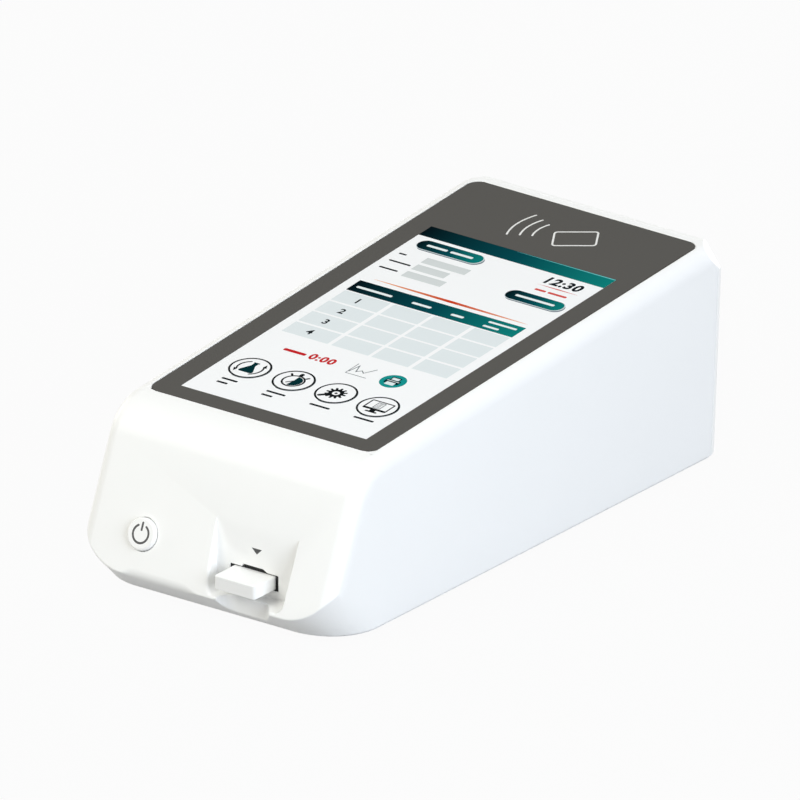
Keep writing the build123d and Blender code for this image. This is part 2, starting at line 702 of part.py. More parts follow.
# Mouldings
outer = envelope(0) - rear_bevels(0)
inner = envelope(WALL)


def housing_walls():
    """The shell with its glass ledge, recess walls, bosses and posts, before anything is cut."""
    shell = outer - inner
    ledge_span = (-GLASS_CORNER, GLASS_LENGTH + OUTSIDE)
    shell += inner & (TOP * block((-BODY_WIDTH, BODY_WIDTH), ledge_span, (LEDGE_BOTTOM, -POCKET_DEPTH)))
    shell += outer & block(
        about(RECESS_X, RECESS_WIDTH + 2 * WALL),
        (-OUTSIDE, RECESS_BACK + WALL),
        (BASE_THICKNESS + SEAM, RECESS_FLOOR + OUTSIDE),
    )
    for x, y in base_bosses:
        shell += post(x, y, BASE_THICKNESS, BASE_THICKNESS + BASE_BOSS_HEIGHT, BASE_BOSS_RADIUS)
    inner_face = -REAR_THICKNESS - REAR_SEAM
    for x, up in rear_bosses:
        shell += stud(REAR, x, up, inner_face - REAR_BOSS_LENGTH, inner_face, REAR_BOSS_RADIUS)
    for x, up in bracket_bosses:
        shell += stud(TOP, x, up, BRACKET_TOP, LEDGE_BOTTOM + BOSS_BITE, BRACKET_BOSS_RADIUS)
    for up in post_ups:
        shell += stud(FRONT, BUTTON_X, up, SWITCH_BACK, -WALL + BOSS_BITE, POST_RADIUS)
    return shell


def main_housing():
    """Upper shell: front, sides and top in one moulding, open below and behind."""
    shell = housing_walls()
    shell -= layer(-OUTSIDE, HEM)
    shell -= rear_slab(-REAR_THICKNESS - REAR_SEAM, OUTSIDE)
    shell -= glass_plate(GLASS_GAP, -POCKET_DEPTH, PAST)
    shell -= module_hole()
    shell -= recess_space()
    shell -= notch_space()
    shell -= slot_space()
    shell -= stud(FRONT, BUTTON_X, BUTTON_UP, -WALL - PAST, PAST, BUTTON_RADIUS + BUTTON_GAP)
    big_pilot = BIG_THREAD + PILOT_CLEARANCE
    small_pilot = SMALL_THREAD + PILOT_CLEARANCE
    for x, y in base_bosses:
        tip = BASE_SCREW_SEAT + BASE_SCREW_LENGTH + TIP_CLEARANCE
        shell -= post(x, y, BASE_THICKNESS - PAST, tip, big_pilot)
    for x, up in rear_bosses:
        tip = -BIG_HEAD_HEIGHT - REAR_SCREW_LENGTH - TIP_CLEARANCE
        shell -= stud(REAR, x, up, tip, 0, big_pilot)
    for x, up in bracket_bosses:
        tip = BRACKET_BOTTOM + BRACKET_SCREW_LENGTH + SCREW_SHORT
        shell -= stud(TOP, x, up, BRACKET_BOTTOM, tip, small_pilot)
    for up in post_ups:
        tip = SWITCH_BOARD_BACK + SWITCH_SCREW_LENGTH + TIP_CLEARANCE
        shell -= stud(FRONT, BUTTON_X, up, SWITCH_BACK - PAST, tip, small_pilot)
    return shell


def socket_hole(x, width, height):
    """The hole in the rear panel round one socket."""
    return block(
        about(x, width + 2 * SOCKET_GAP),
        (BASE_LENGTH - OUTSIDE, BASE_LENGTH + OUTSIDE),
        (BOARD_TOP - SOCKET_GAP, BOARD_TOP + height + SOCKET_GAP),
    )


def rear_panel():
    """Rear wall with bevelled edges, holes for the sockets, vents and four sunk screw holes."""
    panel = outer & rear_slab(-REAR_THICKNESS, PAST)
    panel -= layer(-OUTSIDE, HEM)
    for x in usb_xs:
        panel -= socket_hole(x, USB_WIDTH, USB_HEIGHT)
    panel -= socket_hole(LAN_X, LAN_WIDTH, LAN_HEIGHT)
    panel -= socket_hole(DC_X, DC_WIDTH, DC_HEIGHT)
    for i in range(VENT_COUNT):
        vent = block(about(0, VENT_LENGTH), about(VENT_FIRST + i * VENT_PITCH, VENT_WIDTH), (-OUTSIDE, PAST))
        panel -= REAR * fillet(vent.edges().filter_by(Axis.Z), VENT_END_RADIUS)
    for x, up in rear_bosses:
        panel -= stud(REAR, x, up, -REAR_THICKNESS - PAST, PAST, BIG_THREAD + HOLE_CLEARANCE)
        panel -= stud(REAR, x, up, -BIG_HEAD_HEIGHT, PAST, BIG_HEAD + HOLE_CLEARANCE)
    return panel


def rear_screws():
    into = REAR_OUT * -1
    seats = [in_frame(REAR, x, up, -BIG_HEAD_HEIGHT) for x, up in rear_bosses]
    return [big_screw(seat, into, REAR_SCREW_LENGTH) for seat in seats]


def base_tray():
    """Bottom plate inside the shell, with a thin hem under the walls, standoffs and foot recesses."""
    hem = (envelope(HEM) - rear_bevels(HEM)) & layer(0, HEM)
    plate = envelope(WALL + SEAM) & layer(0, BASE_THICKNESS)
    tray = hem + (plate - rear_slab(-REAR_THICKNESS - SEAM, OUTSIDE))
    for x, y in chassis_holes:
        tray += post(x, y, BASE_THICKNESS - BOSS_BITE, CHASSIS_BOTTOM, BIG_HEAD + PAD_RIM)
        low = CHASSIS_TOP - CHASSIS_SCREW_LENGTH - SCREW_SHORT
        tray -= post(x, y, low, CHASSIS_TOP, BIG_THREAD + PILOT_CLEARANCE)
    for x, y in board_holes:
        tray += post(x, y, BASE_THICKNESS - BOSS_BITE, BOARD_BOTTOM, STANDOFF_RADIUS)
        low = BOARD_TOP - BOARD_SCREW_LENGTH - TIP_CLEARANCE
        tray -= post(x, y, low, BOARD_TOP, SMALL_THREAD + PILOT_CLEARANCE)
    for x, y in foot_places:
        tray -= post(x, y, -PAST, FOOT_THICKNESS - FOOT_SHOWS, FOOT_RADIUS + FOOT_GAP)
    for x, y in base_bosses:
        tray -= post(x, y, -PAST, BASE_THICKNESS + PAST, BIG_THREAD + HOLE_CLEARANCE)
        tray -= post(x, y, -PAST, BASE_SCREW_SEAT, BIG_HEAD + HOLE_CLEARANCE)
    return tray


def base_screws():
    return [big_screw((x, y, BASE_SCREW_SEAT), (0, 0, 1), BASE_SCREW_LENGTH) for x, y in base_bosses]


def rubber_feet():
    pads = []
    for x, y in foot_places:
        pad = post(x, y, -FOOT_SHOWS, FOOT_THICKNESS - FOOT_SHOWS, FOOT_RADIUS)
        pads.append(fillet(pad.faces().sort_by(Axis.Z)[0].edges(), FOOT_ROUND))
    return pads


# Display
def glass_tape():
    """Adhesive frame between the glass and its ledge, open over the display module."""
    return glass_plate(-TAPE_INSET, -POCKET_DEPTH, -GLASS_THICKNESS) - module_hole()


def display_module():
    """Display panel with its metal back."""
    body = block(about(0, 2 * MODULE_HALF), MODULE_SPAN, (BRACKET_TOP, -GLASS_THICKNESS))
    return TOP * fillet(body.edges().filter_by(Axis.Z), MODULE_CORNER)


def display_bracket():
    """Sheet metal bracket that holds the module against the glass and carries the driver board."""
    plate = block(
        about(0, 2 * (INNER_HALF - BRACKET_SIDE_GAP)),
        about(MODULE_MIDDLE, BRACKET_LENGTH),
        (BRACKET_BOTTOM, BRACKET_TOP),
    )
    plate = TOP * fillet(plate.edges().filter_by(Axis.Z), BRACKET_CORNER)
    for x, up in driver_studs:
        plate += stud(TOP, x, up, DRIVER_TOP, BRACKET_BOTTOM, STUD_RADIUS)
        plate -= stud(TOP, x, up, DRIVER_TOP, BRACKET_TOP, SMALL_THREAD + PILOT_CLEARANCE)
    for x, up in bracket_bosses:
        plate -= stud(TOP, x, up, BRACKET_BOTTOM - PAST, BRACKET_TOP + PAST, SMALL_THREAD + HOLE_CLEARANCE)
    return plate


def driver_board():
    board = TOP * block(
        about(0, DRIVER_BOARD_WIDTH),
        about(DRIVER_BOARD_CENTRE, DRIVER_BOARD_LENGTH),
        (DRIVER_BOTTOM, DRIVER_TOP),
    )
    for x, up in driver_studs:
        board -= stud(TOP, x, up, DRIVER_BOTTOM - PAST, DRIVER_TOP + PAST, SMALL_THREAD + HOLE_CLEARANCE)
    return board


def bracket_screws():
    """Four screws hold the bracket to the housing and four the driver board to the bracket."""
    board_length = BOARD_THICKNESS + STUD_HEIGHT + BRACKET_THICKNESS - SCREW_SHORT
    screws = []
    for x, up in bracket_bosses:
        screws.append(small_screw(in_frame(TOP, x, up, BRACKET_BOTTOM), TOP_OUT, BRACKET_SCREW_LENGTH))
    for x, up in driver_studs:
        screws.append(small_screw(in_frame(TOP, x, up, DRIVER_BOTTOM), TOP_OUT, board_length))
    return screws


def antenna_board():
    """Card reader aerial board, glued under the ledge behind the screen."""
    return TOP * block(about(0, ANTENNA_WIDTH), ANTENNA_SPAN, (ANTENNA_BOTTOM, LEDGE_BOTTOM))


def antenna_coil():
    """Printed turns of the aerial, as flat closed tracks under its board."""
    tracks = []
    for i in range(ANTENNA_TURNS):
        inset = ANTENNA_EDGE + i * ANTENNA_PITCH
        wide = ANTENNA_WIDTH - 2 * inset
        long = ANTENNA_SPAN[1] - ANTENNA_SPAN[0] - 2 * inset
        ring = Rectangle(wide, long) - Rectangle(wide - 2 * ANTENNA_TRACK, long - 2 * ANTENNA_TRACK)
        place = Pos(0, sum(ANTENNA_SPAN) / 2, ANTENNA_BOTTOM - ANTENNA_COPPER)
        tracks.append(TOP * place * extrude(ring, ANTENNA_COPPER))
    return tracks


# Power button
def power_button():
    """Round cap with an inner flange that keeps it in the front, and a stem for the switch."""
    cap = post(0, 0, BUTTON_BACK, BUTTON_STANDS, BUTTON_RADIUS)
    cap = chamfer(cap.faces().sort_by(Axis.Z)[-1].edges(), BUTTON_CHAMFER)
    cap += post(0, 0, BUTTON_BACK, BUTTON_BACK + FLANGE_THICKNESS, FLANGE_RADIUS)
    return BUTTON * (cap + post(0, 0, STEM_END, BUTTON_BACK, STEM_RADIUS))


def switch_plunger():
    """The switch's own plunger, which moves with the stem."""
    return BUTTON * post(0, 0, STEM_END - PLUNGER_LENGTH, STEM_END, PLUNGER_RADIUS)


def switch_body():
    body = block(about(0, SWITCH_SIDE), about(0, SWITCH_SIDE), (SWITCH_BACK, SWITCH_FRONT))
    bore_end = STEM_END - PLUNGER_LENGTH - BUTTON_TRAVEL - PLUNGER_GAP
    return BUTTON * (body - post(0, 0, bore_end, PAST, PLUNGER_RADIUS + RUNNING_GAP))


def switch_board():
    """Small upright board behind the button, on a post above and one below it."""
    length = 2 * (POST_OFFSET + SWITCH_BOARD_EDGE)
    board = block(about(0, SWITCH_BOARD_WIDTH), about(0, length), (SWITCH_BOARD_BACK, SWITCH_BACK))
    for up in (-POST_OFFSET, POST_OFFSET):
        board -= post(0, up, SWITCH_BOARD_BACK - PAST, SWITCH_BACK + PAST, SMALL_THREAD + HOLE_CLEARANCE)
    return BUTTON * board


def switch_screws():
    return [
        small_screw(in_frame(FRONT, BUTTON_X, up, SWITCH_BOARD_BACK), FRONT_OUT, SWITCH_SCREW_LENGTH)
        for up in post_ups
    ]


# Scanner
def scan_chassis():
    """Moulded frame of the scanner: floor plate with an end wall at the front and one at the back."""
    frame = block(CHASSIS_X, (CHASSIS_FRONT, CHASSIS_BACK), (CHASSIS_BOTTOM, CHASSIS_TOP))
    front_wall = (CHASSIS_FRONT, CHASSIS_FRONT + CHASSIS_WALL)
    frame += block(CHASSIS_X, front_wall, (CHASSIS_BOTTOM, CHASSIS_WALL_TOP))
    motor_wall = (MOTOR_WALL_X, CHASSIS_X[1])
    frame += block(motor_wall, (BACK_WALL, CHASSIS_BACK), (CHASSIS_BOTTOM, CHASSIS_WALL_TOP))
    frame -= block(
        about(CARD_X, 2 * (RAIL_INSIDE + GATE_GAP)),
        (front_wall[0] - PAST, front_wall[1] + PAST),
        (FLOOR_BOTTOM, CHASSIS_WALL_TOP + PAST),
    )
    through = (CHASSIS_FRONT - PAST, CHASSIS_BACK + PAST)
    for x in rod_xs:
        frame -= rod(x, ROD_HEIGHT, *through, ROD_RADIUS + SEAT_GAP)
    frame -= rod(SCREW_X, SCREW_HEIGHT, *through, BUSH_RADIUS + SEAT_GAP)
    for x, y in chassis_holes:
        frame -= post(x, y, CHASSIS_BOTTOM - PAST, CHASSIS_TOP + PAST, BIG_THREAD + HOLE_CLEARANCE)
    for x in ear_xs:
        frame -= rod(x, SCREW_HEIGHT, BACK_WALL - PAST, CHASSIS_BACK + PAST, SMALL_THREAD + PILOT_CLEARANCE)
    return frame


def chassis_screws():
    return [big_screw((x, y, CHASSIS_TOP), (0, 0, -1), CHASSIS_SCREW_LENGTH) for x, y in chassis_holes]


def guide_rods():
    return [rod(x, ROD_HEIGHT, CHASSIS_FRONT, CHASSIS_BACK, ROD_RADIUS) for x in rod_xs]


def carrier():
    """Sliding card carrier: floor, side rails, end stop, skirts round the rods, nut block and flag."""
    span = (CARRIER_FRONT, CARRIER_BACK)
    body = block(about(CARD_X, 2 * SKIRT_OUTSIDE), span, (FLOOR_BOTTOM, FLOOR_TOP))
    for side in (-1, 1):
        skirt = sorted((CARD_X + side * SKIRT_INSIDE, CARD_X + side * SKIRT_OUTSIDE))
        body += block(skirt, span, (SKIRT_BOTTOM, FLOOR_TOP))
        rail = sorted((CARD_X + side * RAIL_INSIDE, CARD_X + side * RAIL_OUTSIDE))
        body += block(rail, span, (FLOOR_BOTTOM, RAIL_TOP))
    body += block(about(CARD_X, 2 * RAIL_OUTSIDE), (STOP_FRONT, CARRIER_BACK), (FLOOR_BOTTOM, RAIL_TOP))
    cover = NUT_RADIUS + NUT_BLOCK_COVER
    body += block(
        (SCREW_X - cover, CARD_X - SKIRT_INSIDE),
        (NUT_FRONT, CARRIER_BACK),
        (SCREW_HEIGHT - cover, SCREW_HEIGHT + cover - NUT_BLOCK_SHAVE),
    )
    body += block(
        (CARD_X + SKIRT_OUTSIDE - FLAG_ROOT, FLAG_END),
        (CARRIER_BACK - FLAG_LENGTH, CARRIER_BACK),
        (ROD_HEIGHT, ROD_HEIGHT + FLAG_THICKNESS),
    )
    for x in rod_xs:
        body -= rod(x, ROD_HEIGHT, CARRIER_FRONT - PAST, CARRIER_BACK + PAST, ROD_RADIUS + RUNNING_GAP)
    return body - rod(SCREW_X, SCREW_HEIGHT, NUT_FRONT - PAST, CARRIER_BACK + PAST, NUT_RADIUS + SEAT_GAP)


def lead_nut():
    """Flanged nut of the lead screw."""
    flange_front = NUT_FRONT - NUT_FLANGE_THICKNESS
    nut = rod(SCREW_X, SCREW_HEIGHT, NUT_FRONT, CARRIER_BACK, NUT_RADIUS)
    nut += rod(SCREW_X, SCREW_HEIGHT, flange_front, NUT_FRONT, NUT_FLANGE_RADIUS)
    bore = (flange_front - PAST, CARRIER_BACK + PAST)
    return nut - rod(SCREW_X, SCREW_HEIGHT, *bore, SCREW_RADIUS + RUNNING_GAP)


def card_clip():
    """Leaf spring fixed flat on the end stop, whose blade keeps the card down."""
    x = about(CARD_X, CLIP_WIDTH)
    blade = (CARD_TOP + CARD_REST_GAP, CARD_TOP + CARD_REST_GAP + CLIP_THICKNESS)
    riser = (STOP_FRONT, STOP_FRONT + CLIP_THICKNESS)
    clip = block(x, (STOP_FRONT, CARRIER_BACK), (RAIL_TOP, RAIL_TOP + CLIP_THICKNESS))
    clip += block(x, riser, (RAIL_TOP, blade[1]))
    return clip + block(x, (STOP_FRONT - CLIP_REACH, riser[1]), blade)


def lead_screw():
    """Lead screw, one piece with the motor's rotor shaft."""
    body = rod(SCREW_X, SCREW_HEIGHT, CHASSIS_FRONT + SCREW_END_GAP, MOTOR_FRONT + ROTOR_DEPTH, SCREW_RADIUS)
    return chamfer(body.edges().filter_by(GeomType.CIRCLE), SCREW_CHAMFER)


def screw_bushes():
    """Flanged bushes of the lead screw, one in each end wall."""
    bushes = []
    for inner_face, inward in ((CHASSIS_FRONT + CHASSIS_WALL, 1), (BACK_WALL, -1)):
        outer_face = inner_face - inward * CHASSIS_WALL
        flange_end = inner_face + inward * BUSH_FLANGE_THICKNESS
        bush = rod(SCREW_X, SCREW_HEIGHT, outer_face, inner_face, BUSH_RADIUS)
        bush += rod(SCREW_X, SCREW_HEIGHT, inner_face, flange_end, BUSH_FLANGE_RADIUS)
        bore = (outer_face - inward, flange_end + inward)
        bushes.append(bush - rod(SCREW_X, SCREW_HEIGHT, *bore, SCREW_RADIUS + RUNNING_GAP))
    return bushes


def stepper_motor():
    """Round stepper motor with two ears, whose rotor shaft is the lead screw."""
    plate = (CHASSIS_BACK, MOTOR_FRONT)
    ears = about(SCREW_HEIGHT, 2 * MOTOR_EAR_RADIUS)
    body = rod(SCREW_X, SCREW_HEIGHT, CHASSIS_BACK, MOTOR_FRONT + MOTOR_LENGTH, MOTOR_RADIUS)
    body += block(ear_xs, plate, ears)
    for x in ear_xs:
        body += rod(x, SCREW_HEIGHT, *plate, MOTOR_EAR_RADIUS)
        body -= rod(x, SCREW_HEIGHT, plate[0] - PAST, plate[1] + PAST, SMALL_THREAD + HOLE_CLEARANCE)
    bore_end = MOTOR_FRONT + ROTOR_DEPTH + TIP_CLEARANCE
    return body - rod(SCREW_X, SCREW_HEIGHT, plate[0] - PAST, bore_end, SCREW_RADIUS + ROTOR_GAP)


def motor_screws():
    length = MOTOR_PLATE_THICKNESS + CHASSIS_WALL - SCREW_SHORT
    return [small_screw((x, MOTOR_FRONT, SCREW_HEIGHT), (0, -1, 0), length) for x in ear_xs]


def home_sensor():
    """Forked light barrier that the carrier's flag enters at rest."""
    front = CARRIER_BACK - FLAG_LENGTH - SENSOR_OVERHANG
    left = CARD_X + SKIRT_OUTSIDE + SENSOR_GAP
    back = front + SENSOR_LENGTH
    body = block((left, SENSOR_END), (front, back), (CHASSIS_TOP, CHASSIS_TOP + SENSOR_HEIGHT))
    fork = block(
        (left - PAST, SENSOR_SLOT_END),
        (front - PAST, back + PAST),
        about(ROD_HEIGHT + FLAG_THICKNESS / 2, SENSOR_SLOT),
    )
    return body - fork


# Optical head
def optics_bridge():
    """Bridge over the carrier, with the beam's opening in its plate."""
    y = (BRIDGE_FRONT, BRIDGE_BACK)
    body = block(about(CARD_X, 2 * BRIDGE_OUTSIDE), y, (CHASSIS_TOP, BRIDGE_TOP))
    through = (y[0] - PAST, y[1] + PAST)
    body -= block(about(CARD_X, 2 * BRIDGE_INSIDE), through, (CHASSIS_TOP - PAST, BRIDGE_UNDER))
    return body - post(CARD_X, SCAN_Y, BRIDGE_UNDER - PAST, BRIDGE_TOP + PAST, BEAM_HOLE)


def lamp_point(distance):
    """A point on the exciting beam's axis, at a distance from the strip."""
    tilt = radians(LAMP_TILT)
    return CARD_X - distance * sin(tilt), SCAN_Y, CARD_MIDDLE + STRIP_THICKNESS + distance * cos(tilt)


def lamp_bar(near, far, radius):
    """A round bar on the exciting beam's axis."""
    return bar(lamp_point(near), lamp_point(far), radius)


def optics_block():
    """Block with the upright detecting bore and the slanting bore of the light source."""
    y = (BRIDGE_FRONT, BRIDGE_BACK)
    x = about(CARD_X, OPTICS_WIDTH)
    body = block(x, y, (BRIDGE_TOP, OPTICS_TOP))
    body += block((x[0] - LAMP_SIDE, x[0]), y, (BRIDGE_TOP, OPTICS_TOP - LAMP_SIDE_DROP))
    body -= post(CARD_X, SCAN_Y, BRIDGE_TOP - PAST, OPTICS_TOP + PAST, OPTICS_BORE)
    return body - lamp_bar(PAST, LAMP_DISTANCE + LAMP_LENGTH + OUTSIDE, LAMP_BORE)


def bore_disc(height, thickness):
    """A disc in the detecting bore, at a height above the bridge."""
    low = BRIDGE_TOP + height
    return post(CARD_X, SCAN_Y, low, low + thickness, OPTICS_BORE - SEAT_GAP)


def objective_lens():
    """Plano-convex lens: a disc with a domed upper face."""
    top = BRIDGE_TOP + LENS_HEIGHT + LENS_THICKNESS
    dome = Pos(CARD_X, SCAN_Y, top - LENS_CURVE) * Sphere(LENS_CURVE)
    return bore_disc(LENS_HEIGHT, LENS_THICKNESS) & dome


def emission_filter():
    return bore_disc(FILTER_HEIGHT, FILTER_THICKNESS)


def detector():
    return bore_disc(OPTICS_HEIGHT - DETECTOR_LENGTH, DETECTOR_LENGTH)


def detector_board():
    return block(
        about(CARD_X, DETECTOR_BOARD_WIDTH),
        about(SCAN_Y, DETECTOR_BOARD_LENGTH),
        (OPTICS_TOP, OPTICS_TOP + BOARD_THICKNESS),
    )


def light_source():
    return lamp_bar(LAMP_DISTANCE, LAMP_DISTANCE + LAMP_LENGTH, LAMP_BORE - SEAT_GAP)


def excitation_filter():
    return lamp_bar(LAMP_FILTER_DISTANCE, LAMP_FILTER_DISTANCE + FILTER_THICKNESS, LAMP_BORE - SEAT_GAP)


# Test card
def card_half(low, high):
    """One half of the card with its rounded upright corners and the strip's channel."""
    body = block(about(CARD_X, CARD_WIDTH), (CARD_FRONT, CARD_BACK), (low, high))
    body = fillet(body.edges().filter_by(Axis.Z), CARD_CORNER)
    return body - block(
        about(CARD_X, STRIP_WIDTH + 2 * STRIP_GAP),
        (STRIP_SPAN[0] - STRIP_GAP, STRIP_SPAN[1] + STRIP_GAP),
        (CARD_MIDDLE - STRIP_SINK, CARD_MIDDLE - STRIP_SINK + STRIP_THICKNESS + STRIP_GAP),
    )


def card_base():
    return card_half(CARD_BOTTOM, CARD_MIDDLE)


def test_strip():
    low = CARD_MIDDLE - STRIP_SINK
    return block(about(CARD_X, STRIP_WIDTH), STRIP_SPAN, (low, low + STRIP_THICKNESS))


def card_cover():
    """Upper half of the card with its reading window and sample well."""
    window = CARD_FRONT + WINDOW_FROM_END
    above = (CARD_MIDDLE - PAST, CARD_TOP + PAST)
    body = card_half(CARD_MIDDLE, CARD_TOP)
    body -= block(about(CARD_X, WINDOW_WIDTH), (window, window + WINDOW_LENGTH), above)
    return body - post(CARD_X, CARD_FRONT + WELL_FROM_END, *above, WELL_RADIUS)


# Main board and what is on it
def main_board():
    board = block((-MAIN_HALF, MAIN_HALF), MAIN_SPAN, (BOARD_BOTTOM, BOARD_TOP))
    for x, y in board_holes:
        board -= post(x, y, BOARD_BOTTOM - PAST, BOARD_TOP + PAST, SMALL_THREAD + HOLE_CLEARANCE)
    return board


def board_screws():
    return [small_screw((x, y, BOARD_TOP), (0, 0, -1), BOARD_SCREW_LENGTH) for x, y in board_holes]


SOCKET_END = rear_y(BOARD_TOP) - SOCKET_SINK


def socket_block(x, width, length, height):
    """A block on the main board that ends just inside the rear wall's outer face."""
    return block(about(x, width), (SOCKET_END - length, SOCKET_END), (BOARD_TOP, BOARD_TOP + height))


def usb_sockets():
    """Two sockets of sheet metal with their tongues."""
    y = (SOCKET_END - USB_LENGTH, SOCKET_END)
    z = (BOARD_TOP, BOARD_TOP + USB_HEIGHT)
    sockets = []
    for x in usb_xs:
        body = socket_block(x, USB_WIDTH, USB_LENGTH, USB_HEIGHT)
        body -= block(
            about(x, USB_WIDTH - 2 * USB_SHELL),
            (y[0] + USB_BACK, y[1] + PAST),
            (z[0] + USB_SHELL, z[1] - USB_SHELL),
        )
        tongue = about((z[0] + z[1]) / 2 + USB_TONGUE_RISE, USB_TONGUE_THICKNESS)
        body += block(about(x, USB_TONGUE_WIDTH), (y[0] + USB_BACK / 2, y[1] - USB_BACK), tongue)
        sockets.append(body)
    return sockets


def lan_socket():
    """Network socket with its mouth and the step for the plug's latch."""
    depth = (SOCKET_END - LAN_MOUTH_DEPTH, SOCKET_END + PAST)
    low = BOARD_TOP + LAN_MOUTH_RISE
    body = socket_block(LAN_X, LAN_WIDTH, LAN_LENGTH, LAN_HEIGHT)
    body -= block(about(LAN_X, LAN_MOUTH_WIDTH), depth, (low, low + LAN_MOUTH_HEIGHT))
    return body - block(about(LAN_X, LAN_LATCH_WIDTH), depth, (low - LAN_LATCH_DROP, low + PAST))


def dc_inlet():
    """Low-voltage inlet: a block with a round bore and its centre pin."""
    z = BOARD_TOP + DC_HEIGHT - DC_WIDTH / 2
    bore_end = SOCKET_END - DC_DEPTH
    body = socket_block(DC_X, DC_WIDTH, DC_LENGTH, DC_HEIGHT)
    body -= rod(DC_X, z, bore_end, SOCKET_END + PAST, DC_BORE)
    return body + rod(DC_X, z, bore_end - PAST, SOCKET_END - DC_PIN_SINK, DC_PIN)


def board_chips():
    """Processor, two memories and the motor driver."""
    chips = []
    for x, y, wide, long, tall in CHIPS:
        place = (about(MAIN_HALF - x, wide), about(y + MAIN_SPAN[0], long))
        chips.append(block(*place, (BOARD_TOP, BOARD_TOP + tall)))
    return chips


def cell_holder():
    y = MAIN_SPAN[0] + CELL_FROM_FRONT
    floor = BOARD_TOP + HOLDER_FLOOR
    rim = post(CELL_X, y, BOARD_TOP, floor + CELL_THICKNESS, CELL_RADIUS + HOLDER_RIM)
    return rim - post(CELL_X, y, floor, floor + CELL_THICKNESS + PAST, CELL_RADIUS + CELL_GAP)


def clock_cell():
    low = BOARD_TOP + HOLDER_FLOOR
    return post(CELL_X, MAIN_SPAN[0] + CELL_FROM_FRONT, low, low + CELL_THICKNESS, CELL_RADIUS)


def buzzer():
    y = MAIN_SPAN[0] + BUZZER_FROM_FRONT
    top = BOARD_TOP + BUZZER_HEIGHT
    body = post(BUZZER_X, y, BOARD_TOP, top, BUZZER_RADIUS)
    return body - post(BUZZER_X, y, top - BUZZER_HOLE_DEPTH, top + PAST, BUZZER_HOLE)


# Ribbon from the driver board down to the main board
RIBBON_UP = DRIVER_BOARD_CENTRE + DRIVER_BOARD_LENGTH / 2 - RIBBON_SOCKET_LENGTH / 2 - RIBBON_EDGE
RIBBON_FOOT_Y = MAIN_SPAN[0] + RIBBON_FOOT
RIBBON_FOOT_Z = BOARD_TOP + RIBBON_SOCKET_HEIGHT


def ribbon_sockets():
    x = about(RIBBON_X, RIBBON_WIDTH + 2 * RIBBON_SOCKET_SIDE)
    under = (DRIVER_BOTTOM - RIBBON_SOCKET_HEIGHT, DRIVER_BOTTOM)
    up = TOP * block(x, about(RIBBON_UP, RIBBON_SOCKET_LENGTH), under)
    return [up, block(x, about(RIBBON_FOOT_Y, RIBBON_SOCKET_LENGTH), (BOARD_TOP, RIBBON_FOOT_Z))]


def display_ribbon():
    """Flat ribbon, folded loosely between the two sockets."""
    top = in_frame(TOP, RIBBON_X, RIBBON_UP, DRIVER_BOTTOM - RIBBON_SOCKET_HEIGHT)
    path = FilletPolyline(
        (top.Y, top.Z),
        (top.Y, top.Z - RIBBON_DROP),
        (RIBBON_FOOT_Y, RIBBON_FOOT_Z + RIBBON_CLIMB),
        (RIBBON_FOOT_Y, RIBBON_FOOT_Z),
        radius=RIBBON_BEND,
    )
    side = Plane.YZ.offset(RIBBON_X - RIBBON_WIDTH / 2)
    return extrude(side * trace(path, RIBBON_THICKNESS), RIBBON_WIDTH)


os.makedirs("parts", exist_ok=True)
save("main_housing", main_housing())
save("base_tray", base_tray())
save("rear_panel", rear_panel())
save("rear_screws", *rear_screws())
save("base_screws", *base_screws())
save("rubber_feet", *rubber_feet())
save("cover_glass", glass_plate(0, -GLASS_THICKNESS, 0))
save("glass_tape", glass_tape())
save("display_module", display_module())
save("display_bracket", display_bracket())
save("driver_board", driver_board())
save("bracket_screws", *bracket_screws())
save("antenna_board", antenna_board())
save("antenna_coil", *antenna_coil())
save("power_button", power_button())
save("switch_plunger", switch_plunger())
save("switch_body", switch_body())
save("switch_board", switch_board())
save("switch_screws", *switch_screws())
save("scan_chassis", scan_chassis())
save("chassis_screws", *chassis_screws())
save("guide_rods", *guide_rods())
save("card_carrier", carrier())
save("lead_nut", lead_nut())
save("card_clip", card_clip())
save("lead_screw", lead_screw())
save("screw_bushes", *screw_bushes())
save("stepper_motor", stepper_motor())
save("motor_screws", *motor_screws())
save("home_sensor", home_sensor())
save("optics_bridge", optics_bridge())
save("optics_block", optics_block())
save("objective_lens", objective_lens())
save("emission_filter", emission_filter())
save("detector", detector())
save("detector_board", detector_board())
save("light_source", light_source())
save("excitation_filter", excitation_filter())
save("card_base", card_base())
save("card_cover", card_cover())
save("test_strip", test_strip())
save("main_board", main_board())
save("board_screws", *board_screws())
save("usb_sockets", *usb_sockets())
save("lan_socket", lan_socket())
save("dc_inlet", dc_inlet())
save("board_chips", *board_chips())
save("cell_holder", cell_holder())
save("clock_cell", clock_cell())
save("buzzer", buzzer())
save("ribbon_sockets", *ribbon_sockets())
save("display_ribbon", display_ribbon())
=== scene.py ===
import json
import math

import bmesh
import bpy
import numpy as np
from bpy.props import FloatProperty, FloatVectorProperty, PointerProperty
from mathutils import Matrix, Vector

